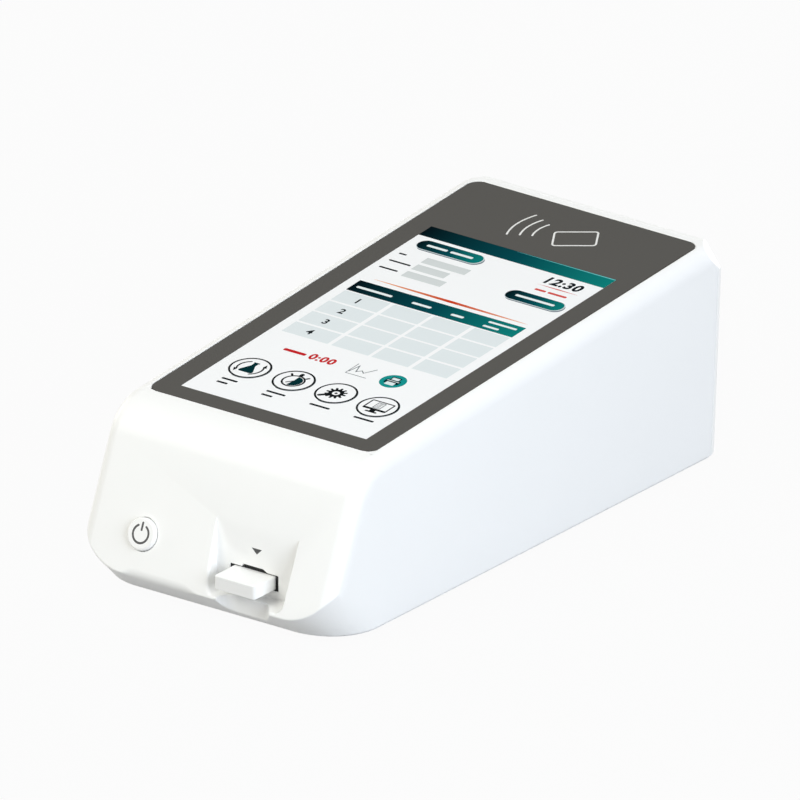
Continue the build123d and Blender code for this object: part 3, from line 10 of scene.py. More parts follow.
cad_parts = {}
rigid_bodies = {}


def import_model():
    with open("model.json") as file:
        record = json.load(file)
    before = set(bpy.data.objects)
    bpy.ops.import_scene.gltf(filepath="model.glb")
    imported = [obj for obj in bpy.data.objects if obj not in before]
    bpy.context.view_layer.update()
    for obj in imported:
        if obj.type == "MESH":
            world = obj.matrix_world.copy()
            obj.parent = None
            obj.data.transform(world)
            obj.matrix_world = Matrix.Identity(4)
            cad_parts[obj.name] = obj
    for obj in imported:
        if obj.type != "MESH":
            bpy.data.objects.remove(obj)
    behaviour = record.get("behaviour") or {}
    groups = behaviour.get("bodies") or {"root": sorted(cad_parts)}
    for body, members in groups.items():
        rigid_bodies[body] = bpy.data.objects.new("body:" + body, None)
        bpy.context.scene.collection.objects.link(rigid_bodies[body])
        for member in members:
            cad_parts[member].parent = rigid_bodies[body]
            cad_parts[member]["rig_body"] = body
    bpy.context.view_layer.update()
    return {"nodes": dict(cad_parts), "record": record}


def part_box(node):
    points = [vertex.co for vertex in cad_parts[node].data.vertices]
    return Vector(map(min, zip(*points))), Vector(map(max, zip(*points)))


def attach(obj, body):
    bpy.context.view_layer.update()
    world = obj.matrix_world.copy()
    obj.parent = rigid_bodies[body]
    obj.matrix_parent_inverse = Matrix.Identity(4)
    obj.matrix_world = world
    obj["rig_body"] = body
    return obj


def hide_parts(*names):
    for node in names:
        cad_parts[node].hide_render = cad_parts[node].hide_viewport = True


bl_info = {
    "name": "Immunoassay analyzer looks",
    "version": (1, 0, 0),
    "blender": (4, 5, 0),
    "location": "View3D > Sidebar > Analyzer",
    "description": "Dresses the packed desktop analyzer with its finishes, screen picture and printed marks",
    "category": "Object",
}

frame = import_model()
NODES = frame["nodes"]
MM = 0.001

# Slopes of the analyzer's faces, and its chin and glass in millimetres
TOP_SLOPE = math.radians(4.5)
FRONT_LEAN = math.radians(22.7)
CHIN_REACH = 10.5
CHIN_HEIGHT = 9.4
GLASS_DEPTH = 1.8
GLASS_CORNER = 5.0

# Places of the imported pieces, in metres, and the glass's size, in millimetres
HOUSING_LOW, HOUSING_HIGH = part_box("main_housing")
GLASS_LOW, GLASS_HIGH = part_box("cover_glass")
BASE_Y = HOUSING_LOW.y + CHIN_REACH * MM
BASE_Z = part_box("base_tray")[0].z
FOOT = np.array((0.0, BASE_Y, BASE_Z))
GLASS_WIDTH = (GLASS_HIGH.x - GLASS_LOW.x) / MM
GLASS_RUN = (GLASS_HIGH.y - GLASS_LOW.y) / MM - GLASS_DEPTH * math.sin(TOP_SLOPE)
GLASS_LENGTH = GLASS_RUN / math.cos(TOP_SLOPE)
GLASS_FRONT_Z = GLASS_HIGH.z - GLASS_LENGTH * MM * math.sin(TOP_SLOPE)

# Forms of the front, in millimetres from the middle of its foot, and how near a point counts as on one
CLOSE, NEARLY = 0.05, 0.1
RECESS_RIGHT = 37.4
RECESS_BACK = 1.2
RECESS_FLOOR = 10.5
RECESS_TOP = 37.37
RECESS_CORNER = 6.0
CORNER_END = 5.3
TIGHT_CORNER = 4.0
WALL_OUT = 0.9
WALL_SLANT = 2.5
NOTCH_LEFT, NOTCH_RIGHT = 7.65, 31.95
NOTCH_FOOT = 1.0
NOTCH_FRONT, NOTCH_BACK = -10.04, -1.9
NOTCH_SHARE = 0.754
NOTCH_LEAN = 4.2
NOTCH_LEAN_DEPTH = 5.6
SLOT_LEFT, SLOT_RIGHT = 5.45, 28.15
SLOT_LOW, SLOT_HIGH, SLOT_TOP = 13.8, 20.05, 21.15
SLOT_WALL = 2.6
STEP_LEFT, STEP_RIGHT = 11.8, 21.8
SLOT_SIDES = ((SLOT_RIGHT, 27.7, 27.7), (STEP_RIGHT, 20.7, 22.6), (STEP_LEFT, 11.4, 11.0))
CREASE_LEFT = -37.4
CREASE_CUTS = 23
CREASE_RADIUS = 3.0
CREASE_RADIUS_RIGHT = 0.5
CREASE_RUN_IN = 4.0
CREASE_BENDS = (-8.0, -2.0, 5.5, 7.6)
EDGE_RADIUS = 1.3
EDGE_DEPTH_SHARE, EDGE_ROOM_SHARE = 0.45, 0.6
BUTTON_X, BUTTON_UP, BUTTON_OUT = -31.1, 16.2, 1.6

# The cut rear corner at the right, in millimetres: both ends of its rear edge and the way it faces
CUT_UPPER = np.array((51.992, 120.505, 85.089))
CUT_LOWER = np.array((59.25, 119.956, 76.36))
CUT_OUT = np.array((0.6731, 0.5189, 0.527))

# The picture on the screen, in millimetres on the glass: left, right, low and high side of each form
PILLS = (("pill_left", (13.9, 43.4, 147.2, 154.4)), ("pill_right", (67.2, 93.1, 131.1, 138.4)))
PILL_RIMS = ((13.8, 43.9, 146.8, 154.5), (67.1, 93.6, 130.7, 138.5))
PILL_SHADOWS = ((14.6, 44.6, 146.2, 153.6), (67.9, 94.2, 130.1, 137.6))
FIELDS = ((24.5, 44.8, 137.9, 142.5), (24.7, 39.8, 131.6, 136.2), (24.7, 42.9, 125.2, 129.8))
HEAD_LOW = 156.4
HEAD_LINE = ((50.0, 164.0), (95.9, 163.75), (95.9, 164.35), (50.0, 164.1))
TABLE_HEAD = (14.1, 91.5, 105.3, 114.3)
TABLE_COLUMNS = ((14.3, 35.6), (37.4, 54.6), (56.1, 73.1), (74.9, 91.2))
TABLE_ROWS = (95.5, 85.3, 75.2, 64.9)
ROW_HEIGHT = 9.1
ROW_NUMBERS = (99.6, 89.7, 79.6, 69.6)

# Bars in place of words: left and right end, height of the middle and thickness
WHITE_BARS = (
    (18.0, 27.4, 150.8, 1.5), (28.9, 39.2, 150.8, 1.5), (71.2, 89.2, 134.8, 1.5), (16.2, 32.6, 109.3, 1.5),
    (42.0, 50.8, 109.3, 1.5), (60.4, 66.2, 109.0, 1.5), (76.2, 89.2, 111.4, 1.3), (76.2, 83.4, 107.8, 1.3),
)
DARK_BARS = (
    (12.9, 16.3, 140.1, 1.0), (13.0, 22.9, 133.7, 1.0), (13.1, 21.6, 127.4, 1.0), (18.8, 26.0, 21.7, 1.2),
    (18.8, 23.7, 18.5, 1.2), (39.6, 48.3, 21.7, 1.2), (39.6, 44.6, 18.5, 1.2), (60.0, 69.2, 21.4, 1.2),
    (80.6, 89.8, 21.3, 1.2),
)
DATE_BARS = ((74.4, 79.4, 142.6, 1.3), (80.4, 89.0, 142.6, 1.3))
DATE_LINE = ((72.6, 146.4), (82.0, 146.05), (91.6, 146.4), (82.0, 146.75))
TIMER_BAR = (24.2, 34.4, 53.2, 1.8)

# The four ringed signs: their middles and the radii of their rings
SIGNS = ((23.0, 33.7), (43.4, 33.6), (63.3, 33.4), (83.6, 32.4))
SIGN_RING = (8.3, 7.5)

# The picture's layers: the face of its ground under the glass, and the thickness of one layer
PICTURE_FACE = -0.06
LAYER = 0.01

# Tone from 0 to 255 and roughness of the record's material slots
PLASTICS = {
    "white_moulding": (250, 250, 248, 0.42), "base_grey": (228, 229, 228, 0.5),
    "button_white": (250, 250, 248, 0.38), "card_white": (248, 248, 246, 0.5),
    "switch_black": (38, 38, 40, 0.45), "chassis_black": (52, 52, 54, 0.6),
    "acetal": (236, 234, 224, 0.35), "foam_tape": (36, 36, 36, 0.9),
    "foot_rubber": (52, 52, 53, 0.85), "strip_paper": (244, 242, 238, 0.8),
    "screen_glass": (86, 84, 80, 0.3), "screen_panel": (240, 243, 243, 0.34),
}
METALS = {
    "sheet_steel": (198, 200, 202, 0.32), "screw_steel": (196, 196, 194, 0.28),
    "rod_steel": (214, 214, 216, 0.16), "bronze": (186, 146, 92, 0.4),
    "spring_steel": (206, 206, 208, 0.22), "socket_metal": (204, 204, 204, 0.26),
    "cell_steel": (214, 214, 212, 0.24), "copper_track": (212, 148, 104, 0.3),
}

# Share of a lit tone that the surface takes from the lamps, while the panel's own light makes up the rest
PANEL_SHARE = 0.8


def srgb(red, green, blue):
    """Linear colour of three values from 0 to 255, as a colour picker shows them."""
    value = np.array((red, green, blue)) / 255
    return tuple(np.where(value <= 0.04045, value / 12.92, ((value + 0.055) / 1.055) ** 2.4))


def read(items, key, width, kind=float):
    """One value of every item of a mesh, read at once, as an array with a row for each."""
    values = np.empty(len(items) * width, kind)
    items.foreach_get(key, values)
    return values.reshape(-1, width)


# Places on the surfaces
def on_glass(points):
    """Places on the cover glass: u to the right and v up the slope from its front left corner, w out."""
    u, v, w = (points * MM).T
    y = GLASS_LOW.y + v * math.cos(TOP_SLOPE) - w * math.sin(TOP_SLOPE)
    z = GLASS_FRONT_Z + v * math.sin(TOP_SLOPE) + w * math.cos(TOP_SLOPE)
    return np.column_stack((GLASS_LOW.x + u, y, z))


def on_front(points):
    """Places on the leaning front: x across, v up the face from the crease over the chin, w out of it."""
    x, v, w = (points * MM).T
    y = BASE_Y - CHIN_REACH * MM + v * math.sin(FRONT_LEAN) - w * math.cos(FRONT_LEAN)
    z = BASE_Z + CHIN_HEIGHT * MM + v * math.cos(FRONT_LEAN) + w * math.sin(FRONT_LEAN)
    return np.column_stack((x, y, z))


def on_recess(points):
    """Places on the upright back wall of the card recess: x across, v up from the foot, w to the front."""
    x, v, w = (points * MM).T
    return np.column_stack((x, BASE_Y + RECESS_BACK * MM - w, BASE_Z + v))


def on_corners(points):
    """Places on the two cut rear corners of the top: x down the cut from its upper end, v to the rear, w out.

    A place with x below 0 is the mirror image of one on the right cut.
    """
    x, v, w = points.T[:, :, None]
    down = (CUT_LOWER - CUT_UPPER) / np.linalg.norm(CUT_LOWER - CUT_UPPER)
    place = CUT_UPPER + abs(x) * down + v * np.cross(CUT_OUT, down) + w * CUT_OUT
    place[:, 0] *= np.sign(points[:, 0])
    return place * MM


# Outlines, as arrays of points that run anticlockwise
def rounded(left, right, low, high, radius, steps=8):
    """Outline of a rectangle whose four corners are quarter circles."""
    x = np.array((right - radius, right - radius, left + radius, left + radius))[:, None]
    y = np.array((low + radius, high - radius, high - radius, low + radius))[:, None]
    angle = np.radians(np.array((-90, 0, 90, 180))[:, None] + np.linspace(0, 90, steps + 1))
    return np.stack((x + radius * np.cos(angle), y + radius * np.sin(angle)), -1).reshape(-1, 2)


def bar(left, right, middle, tall):
    """Outline of a bar with slightly rounded corners, in place of a word."""
    return rounded(left, right, middle - tall / 2, middle + tall / 2, tall * 0.35, 4)


def circle(x, y, radius, steps=72):
    """Outline of a circle: its centre plus the radius times cosine and sine of an even turn."""
    angle = np.linspace(0, 2 * math.pi, steps, endpoint=False)
    return np.column_stack((x + radius * np.cos(angle), y + radius * np.sin(angle)))


def arc(x, y, radius, start, end, steps=24):
    """Points of an arc from one angle to another, in degrees."""
    angle = np.radians(np.linspace(start, end, steps))
    return np.column_stack((x + radius * np.cos(angle), y + radius * np.sin(angle)))


def stroke(path, width, cap=6):
    """Outline of a pen stroke: the path moved half a width to both sides, closed by two half circles."""
    path = np.asarray(path, float)
    along = np.diff(path, axis=0)
    along /= np.linalg.norm(along, axis=1)[:, None]
    side = np.column_stack((-along[:, 1], along[:, 0]))
    mean = np.vstack((side[:1], side[:-1] + side[1:], side[-1:]))
    mean /= np.linalg.norm(mean, axis=1)[:, None]
    reach = width / 2 / np.clip((mean * np.vstack((side[:1], side))).sum(1), 0.3, 1)
    shift = mean * reach[:, None]
    ends = []
    for point, turn in ((path[-1], along[-1]), (path[0], -along[0])):
        angle = math.atan2(turn[1], turn[0]) + np.linspace(-math.pi / 2, math.pi / 2, cap + 2)[1:-1]
        ends.append(point + width / 2 * np.column_stack((np.cos(angle), np.sin(angle))))
    return np.vstack((path - shift, ends[0], (path + shift)[::-1], ends[1]))


def ring(outer, inner):
    """A closed band between two outlines that have the same number of points."""
    return (outer, inner)


def turned(points, angle, centre):
    """Points turned by an angle in degrees about a centre."""
    a = math.radians(angle)
    matrix = np.array(((math.cos(a), math.sin(a)), (-math.sin(a), math.cos(a))))
    return (np.asarray(points, float) - centre) @ matrix + centre


def plates(outlines, low, high):
    """Flat closed plates: each outline at two heights, with a face on both and a wall between them.

    A ring has a band of four-sided faces above and below and a wall inside and outside.
    """
    points, faces, first = [], [], 0
    for outline in outlines:
        loops = outline if isinstance(outline, tuple) else (outline,)
        count = len(loops[0])
        here = first + np.arange(count)
        there = np.roll(here, -1)
        for loop in loops:
            points += [np.column_stack((loop, np.full(count, height))) for height in (high, low)]
        faces += np.column_stack((here + count, there + count, there, here)).tolist()
        if len(loops) == 1:
            faces += [here.tolist(), (here[::-1] + count).tolist()]
        else:
            inner, after = here + 2 * count, there + 2 * count
            faces += np.column_stack((here, there, after, inner)).tolist()
            faces += np.column_stack((inner + count, after + count, there + count, here + count)).tolist()
            faces += np.column_stack((inner, after, after + count, inner + count)).tolist()
        first += 2 * count * len(loops)
    return np.concatenate(points), faces


def digits(text, x, y, height, weight=0.025, slant=0.0, stretch=1.0):
    """Points and faces of flat numbers with their middle at x, y, at heights 0 and 1."""
    curve = bpy.data.curves.new("figures", "FONT")
    curve.body, curve.align_x, curve.align_y = text, "CENTER", "CENTER"
    curve.shear, curve.resolution_u, curve.extrude, curve.offset = slant, 3, 0.5, weight
    curve.space_character = 1.0 + 3 * weight
    holder = added("figures", curve)
    bpy.context.view_layer.update()
    mesh = bpy.data.meshes.new_from_object(holder.evaluated_get(bpy.context.evaluated_depsgraph_get()))
    shape = bmesh.new()
    shape.from_mesh(mesh)
    bmesh.ops.remove_doubles(shape, verts=shape.verts, dist=1e-4)
    bmesh.ops.recalc_face_normals(shape, faces=shape.faces)
    shape.to_mesh(mesh)
    shape.free()
    points = read(mesh.vertices, "co", 3)
    corners = read(mesh.loops, "vertex_index", 1, np.int32).ravel()
    starts = read(mesh.polygons, "loop_start", 1, np.int32).ravel()
    faces = [face.tolist() for face in np.split(corners, starts[1:])]
    bpy.data.objects.remove(holder)
    bpy.data.meshes.remove(mesh)
    bpy.data.curves.remove(curve)
    low, high = points.min(0), points.max(0)
    points[:, :2] -= (low[:2] + high[:2]) / 2
    points[:, :2] *= height / (high[1] - low[1])
    points[:, 0] *= stretch
    points[:, :2] += (x, y)
    points[:, 2] = np.where(points[:, 2] > 0, 1.0, 0.0)
    return points, faces


def joined(shapes):
    """Several lists of points and faces as one."""
    points, faces, first = [], [], 0
    for some, these in shapes:
        points.append(some)
        faces += [[first + i for i in face] for face in these]
        first += len(some)
    return np.concatenate(points), faces


# Pieces
def added(name, data):
    """An object with this data, linked to the scene."""
    thing = bpy.data.objects.new(name, data)
    bpy.context.scene.collection.objects.link(thing)
    return thing


def surface(name, points, faces, material):
    """An object at the origin with its place in its mesh."""
    mesh = bpy.data.meshes.new(name)
    mesh.from_pydata(np.asarray(points).tolist(), [], faces)
    mesh.validate()
    mesh.update()
    mesh.materials.append(material)
    return added(name, mesh)


def piece(name, points, faces, material, body="body", replaces=(), smooth=None):
    """A surface that rides on a body."""
    thing = surface(name, points, faces, material)
    if smooth is not None:
        thing.data.shade_smooth()
        thing.data.set_sharp_from_angle(angle=math.radians(smooth))
    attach(thing, body)
    if replaces:
        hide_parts(*replaces)
    return thing


def printed(name, outlines, low, high, material, place=on_glass, slot="screen_panel", figures=(), at=(0, 0)):
    """A flat layer between two heights over a face, from outlines and ready figures, moved by at."""
    shapes = [plates(outlines, low, high)] if outlines else []
    for points, faces in figures:
        raised = points.copy()
        raised[:, 2] = np.where(points[:, 2] > 0.5, high, low)
        shapes.append((raised, faces))
    points, faces = joined(shapes)
    points[:, :2] += at
    return piece(name, place(points), faces, material)


def lit_layer(name, outlines, first, last, material, **more):
    """A layer of the screen's picture, from one step of its stack to another."""
    low, high = PICTURE_FACE + first * LAYER, PICTURE_FACE + last * LAYER
    return printed(name, outlines, low, high, material, **more)


def outer_front(z):
    """How far back the outer surface is at a height: up the chin to the crease, then back up the lean."""
    return np.where(
        z > CHIN_HEIGHT, (z - CHIN_HEIGHT) * math.tan(FRONT_LEAN) - CHIN_REACH, -z * CHIN_REACH / CHIN_HEIGHT
    )


def between(low, values, high):
    """Which values lie between two bounds."""
    return (values > low) & (values < high)


def shaped_front(mesh):
    """Moves some points of the housing's front.

    The notch keeps a share of its depth, and its right side leans in with the square of the distance from its
    middle. The recess's left wall moves out at the back and in at the lower front. Its lower right corner is
    drawn together towards the corner's own edges, to a tighter radius, and each of the slot's sides moves to
    one place at its step and another below.
    """
    x, y, z = ((read(mesh.vertices, "co", 3) - FOOT) / MM).T
    front = outer_front(z)
    near = abs(y - front) < CLOSE
    notch = between(NOTCH_LEFT - CLOSE, x, NOTCH_RIGHT + CLOSE)
    notch &= between(NOTCH_FOOT, z, RECESS_FLOOR + NEARLY)
    notch &= y < NOTCH_BACK + CLOSE
    chin = z < CHIN_HEIGHT + CLOSE
    start = np.where(chin, -CHIN_REACH, NOTCH_FRONT)
    depth = NOTCH_SHARE * (y - start)
    middle, half = (NOTCH_LEFT + NOTCH_RIGHT) / 2, (NOTCH_RIGHT - NOTCH_LEFT) / 2
    side = np.clip((x - middle) / half, 0, 1) ** 2
    x = x - np.where(notch, NOTCH_LEAN * side * np.clip(depth / NOTCH_LEAN_DEPTH, 0, 1), 0)
    y = np.where(notch, start + depth, y)
    z = np.where(notch & chin, -y * CHIN_HEIGHT / CHIN_REACH, z)
    hollow = between(front - CLOSE, y, RECESS_BACK + CLOSE) & ~notch
    left = hollow & between(-CLOSE, x, CORNER_END) & between(RECESS_FLOOR - CLOSE, z, RECESS_TOP + NEARLY)
    bend = RECESS_FLOOR + RECESS_CORNER
    slant = np.where(near, WALL_SLANT * np.clip((RECESS_TOP - z) / (RECESS_TOP - bend), 0, 1), 0) - WALL_OUT
    right = hollow & between(NOTCH_RIGHT + CLOSE, x, RECESS_RIGHT + CLOSE)
    right &= between(RECESS_FLOOR - NEARLY, z, bend + CLOSE)
    share = TIGHT_CORNER / RECESS_CORNER
    tight = RECESS_RIGHT - share * (RECESS_RIGHT - x)
    x = np.where(left, x + slant * (1 - x / RECESS_CORNER), np.where(right, tight, x))
    z = np.where(right, RECESS_FLOOR + share * (z - RECESS_FLOOR), z)
    y = np.where(right & near, outer_front(z), y)
    wall = between(RECESS_BACK - CLOSE, y, RECESS_BACK + SLOT_WALL)
    wall &= between(SLOT_LOW - NEARLY, z, SLOT_TOP + NEARLY)
    upper = z > (SLOT_HIGH + SLOT_TOP) / 2
    for old, above, below in SLOT_SIDES:
        x = np.where(wall & (abs(x - old) < CLOSE), np.where(upper, above, below), x)
    mesh.vertices.foreach_set("co", (np.column_stack((x, y, z)) * MM + FOOT).ravel())


def rough_key(place):
    """A place as a key that leaves out differences under a micrometre."""
    return tuple(round(value, 6) for value in place)


def front_places(vertices):
    """Places of vertices, in millimetres from the middle of the front's foot."""
    return (np.array([v.co for v in vertices]) - FOOT) / MM


def edges_of(shape, chain):
    """The edges that join a chain of vertices."""
    return [shape.edges.get(pair) for pair in zip(chain, chain[1:])]


def eased(shape, chain, up, down, radii, out, steps=6):
    """Rounds a chain of edges: a strip of curves with their ends a radius up and down the faces beside it.

    Each curve is (1-t)^2 A + 2t(1-t) P + t^2 B, with P on the old edge and A and B on the two faces.
    """
    edges = edges_of(shape, chain)
    plane = max((face.normal.copy() for face in edges[0].link_faces), key=lambda normal: normal.z - normal.y)
    middle = np.array([v.co for v in chain])
    reach = np.asarray(radii)[:, None] * MM
    t = np.linspace(0, 1, steps + 1)[:, None, None]
    curves = (1 - t) ** 2 * (middle + reach * up) + 2 * t * (1 - t) * middle + t**2 * (middle + reach * down)
    bmesh.ops.split_edges(shape, edges=edges)
    first, others = {}, {}
    for v in shape.verts:
        above = any(face.normal.dot(plane) > 0.9999 for face in v.link_faces)
        (first if above else others)[rough_key(v.co)] = v
    rows = []
    for i, place in enumerate(middle.tolist()):
        top = first[rough_key(place)]
        if i in (0, len(middle) - 1):
            rows.append([top] * (steps + 1))
            continue
        foot = others[rough_key(place)]
        rows.append([top, *(shape.verts.new(point) for point in curves[1:-1, i].tolist()), foot])
        top.co, foot.co = curves[0, i], curves[-1, i]
    strip = []
    for before, after in zip(rows, rows[1:]):
        for corners in zip(before, after, after[1:], before[1:]):
            strip.append(shape.faces.new(list(dict.fromkeys(corners))))
    for face in strip:
        face.normal_update()
    if sum(face.normal.dot(out) for face in strip) < 0:
        bmesh.ops.reverse_faces(shape, faces=strip)


def walk(shape, keep, start):
    """The vertices that keep allows, from the one nearest to start along edges where the surface turns."""
    places = dict(zip(shape.verts, front_places(shape.verts)))
    allowed = {v for v, place in places.items() if keep(*place)}
    here = min(allowed, key=lambda v: np.linalg.norm(places[v] - start))
    chain = []
    while here:
        chain.append(here)
        turns = (e for e in here.link_edges if len({round(face.normal.y, 2) for face in e.link_faces}) == 2)
        ways = (edge.other_vert(chain[-1]) for edge in turns)
        here = next((v for v in ways if v in allowed and v not in chain), None)
    return chain


def on_left_edge(x, y, z):
    """Whether a place is on the left edge of the card recess, on the outer surface."""
    outer = abs(y - outer_front(z)) < CLOSE
    high = RECESS_FLOOR - NEARLY < z < RECESS_TOP + NEARLY
    return outer and high and -WALL_OUT - CLOSE < x < NOTCH_LEFT + CLOSE


def on_crease(x, y, z):
    """Whether a place is on the crease over the chin, left of the notch."""
    outermost = abs(z - CHIN_HEIGHT) < CLOSE and y < NEARLY - CHIN_REACH
    return outermost and CREASE_LEFT < x < NOTCH_LEFT + CLOSE


def eased_front(shape):
    """Rounds the left edge of the card recess and the crease over the chin.

    The radius on the edge is smaller where the wall is shallow or the crease is near, and none at the notch.
    """
    lean = np.array((0, math.sin(FRONT_LEAN), math.cos(FRONT_LEAN)))
    chain = walk(shape, on_left_edge, (-WALL_OUT, RECESS_BACK, RECESS_TOP))
    places = front_places(chain)
    along = np.gradient(np.column_stack((places[:, 0], places @ lean)), axis=0)
    along /= np.linalg.norm(along, axis=1)[:, None]
    up = along[:, 1:] * (1, 0, 0) - along[:, :1] * lean
    room = (places[:, 2] - CHIN_HEIGHT) / math.cos(FRONT_LEAN)
    depth = EDGE_DEPTH_SHARE * (RECESS_BACK - places[:, 1])
    radii = np.minimum(depth, EDGE_ROOM_SHARE * room / np.clip(along[:, 0], 0.12, 1))
    radii = np.minimum(radii, EDGE_RADIUS) * np.clip((NOTCH_LEFT - places[:, 0]) / 2, 0, 1)
    eased(shape, chain, up, np.array((0, 1, 0)), radii, (0.6, -0.8, 0.1))
    corner = (NOTCH_LEFT, -CHIN_REACH, CHIN_HEIGHT)
    longest = max(edges_of(shape, walk(shape, on_crease, corner)), key=lambda edge: edge.calc_length())
    bmesh.ops.subdivide_edges(shape, edges=[longest], cuts=CREASE_CUTS)
    chain = walk(shape, on_crease, corner)
    x = front_places(chain)[:, 0]
    full, small = CREASE_RADIUS, CREASE_RADIUS_RIGHT
    bends = (x.min(), x.min() + CREASE_RUN_IN, *CREASE_BENDS)
    radii = np.interp(x, bends, (0, full, full, small, small, 0))
    down = np.array((0, CHIN_REACH, -CHIN_HEIGHT)) / math.hypot(CHIN_REACH, CHIN_HEIGHT)
    eased(shape, chain, lean, down, radii, (0, -1, 0))


def softened(node_name, name, material, width, moved=None, shaped=None, seam=None):
    """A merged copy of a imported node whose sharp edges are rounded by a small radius.

    moved changes the copied mesh and shaped its merged form. seam gives a direction and a share: edges of
    faces that look that way take only this share of the radius, because another part lies against them.
    """
    sharp = math.radians(28.0)
    source = NODES[node_name]
    mesh = source.data.copy()
    mesh.name = name
    if moved:
        moved(mesh)
    shape = bmesh.new()
    shape.from_mesh(mesh)
    bmesh.ops.remove_doubles(shape, verts=shape.verts, dist=2e-6)
    bmesh.ops.dissolve_limit(
        shape, angle_limit=math.radians(0.4), verts=shape.verts, edges=shape.edges, delimit={"NORMAL"}
    )
    if shaped:
        shaped(shape)
    if seam is not None:
        weight = shape.edges.layers.float.new("bevel_weight_edge")
        way, share = Vector(seam[0]), seam[1]
        for edge in shape.edges:
            closed = any(face.normal.dot(way) > 0.97 for face in edge.link_faces)
            edge[weight] = (share if closed else 1.0) * (edge.calc_face_angle(0) > sharp)
    shape.to_mesh(mesh)
    shape.free()
    mesh.materials.clear()
    mesh.materials.append(material)
    thing = added(name, mesh)
    mesh.shade_smooth()
    mesh.set_sharp_from_angle(angle=sharp)
    bevel = thing.modifiers.new("edge radius", "BEVEL")
    bevel.width, bevel.segments, bevel.limit_method = width, 3, "ANGLE" if seam is None else "WEIGHT"
    bevel.angle_limit, bevel.use_clamp_overlap = sharp, False
    weighted = thing.modifiers.new("flat faces", "WEIGHTED_NORMAL")
    weighted.keep_sharp, weighted.weight = True, 100
    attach(thing, source["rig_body"])
    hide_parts(node_name)
    return thing


# Node groups and finishes
def put(tree, socket, value):
    """Links another node's result to a socket, or sets the socket to a plain value."""
    if isinstance(value, bpy.types.NodeSocket):
        tree.links.new(value, socket)
    else:
        socket.default_value = value


def node(tree, kind, settings=(), **inputs):
    """Adds a node with its settings, and fills its inputs by name, or by number after an underscore."""
    made = tree.nodes.new(kind)
    for key, value in dict(settings).items():
        setattr(made, key, value)
    for key, value in inputs.items():
        numbered = key[0] == "_" and key[1:].isdigit()
        put(tree, made.inputs[int(key[1:]) if numbered else key.replace("_", " ")], value)
    return made


def maths(tree, operation, *values):
    """The result of a maths node."""
    made = node(tree, "ShaderNodeMath", {"operation": operation})
    for socket, value in zip(made.inputs, values):
        put(tree, socket, value)
    return made.outputs[0]


def blend(tree, share, first, second):
    """The result of a mix of two colours."""
    settings = {"data_type": "RGBA", "clamp_factor": True}
    return node(tree, "ShaderNodeMix", settings, _0=share, _6=first, _7=second).outputs[2]


def new_group(name, inputs, outputs=("Tone", "Roughness", "Height")):
    """An empty shader group with its given and made sockets, and Object coordinates in it.

    The output Tone and the inputs without a default are colours, and all others are numbers.
    """
    group = bpy.data.node_groups.new(name, "ShaderNodeTree")
    sockets = [("INPUT", title, default) for title, default in inputs.items()]
    sockets += [("OUTPUT", title, None if title == "Tone" else 0.0) for title in outputs]
    for side, title, default in sockets:
        kind = "NodeSocketColor" if default is None else "NodeSocketFloat"
        socket = group.interface.new_socket(title, in_out=side, socket_type=kind)
        if default is not None:
            socket.default_value = default
    given, made = group.nodes.new("NodeGroupInput").outputs, group.nodes.new("NodeGroupOutput").inputs
    return group, given, made, node(group, "ShaderNodeTexCoord").outputs["Object"]


def finished(group, made, **results):
    """The group with its results linked to its outputs."""
    for title, result in results.items():
        group.links.new(result, made[title])
    return group


def varied(group, given, made, centred, spread, height):
    """Finishes a group whose tone and roughness swing with a value round zero."""
    shade = maths(group, "MULTIPLY_ADD", centred, given["Tone spread"], 1.0)
    tone = node(group, "ShaderNodeVectorMath", {"operation": "SCALE"}, _0=given["Tone"], Scale=shade)
    rough = maths(group, "MULTIPLY_ADD", centred, spread, given["Roughness"])
    return finished(group, made, Tone=tone.outputs[0], Roughness=rough, Height=height)


def grain_group():
    """Fine grain and broad clouding over Object coordinates: tone, roughness and a height for the bump."""
    inputs = {"Tone": None, "Grain": 2500.0, "Tone spread": 0.02, "Roughness": 0.4, "Roughness spread": 0.1}
    group, given, made, place = new_group("surface_grain", inputs)
    fine = node(group, "ShaderNodeTexNoise", Vector=place, Scale=given["Grain"], Detail=4.0, Roughness=0.6)
    broad = node(group, "ShaderNodeTexNoise", Vector=place, Scale=28.0, Detail=3.0)
    both = maths(group, "ADD", fine.outputs["Fac"], broad.outputs["Fac"])
    centred = maths(group, "SUBTRACT", both, 1.0)
    return varied(group, given, made, centred, given["Roughness spread"], fine.outputs["Fac"])


def streak_group():
    """Long thin streaks along one axis of Object coordinates, for rolled and ground metal."""
    inputs = {"Tone": None, "Across": 4000.0, "Along": 120.0, "Tone spread": 0.08, "Roughness": 0.3}
    group, given, made, place = new_group("drawn_streaks", inputs)
    scale = node(group, "ShaderNodeCombineXYZ", X=given["Across"], Y=given["Along"], Z=given["Across"])
    drawn = node(group, "ShaderNodeVectorMath", {"operation": "MULTIPLY"}, _0=place, _1=scale.outputs[0])
    streak = node(group, "ShaderNodeTexNoise", Vector=drawn.outputs[0], Scale=1.0, Detail=5.0).outputs["Fac"]
    return varied(group, given, made, maths(group, "SUBTRACT", streak, 0.5), 0.25, streak)


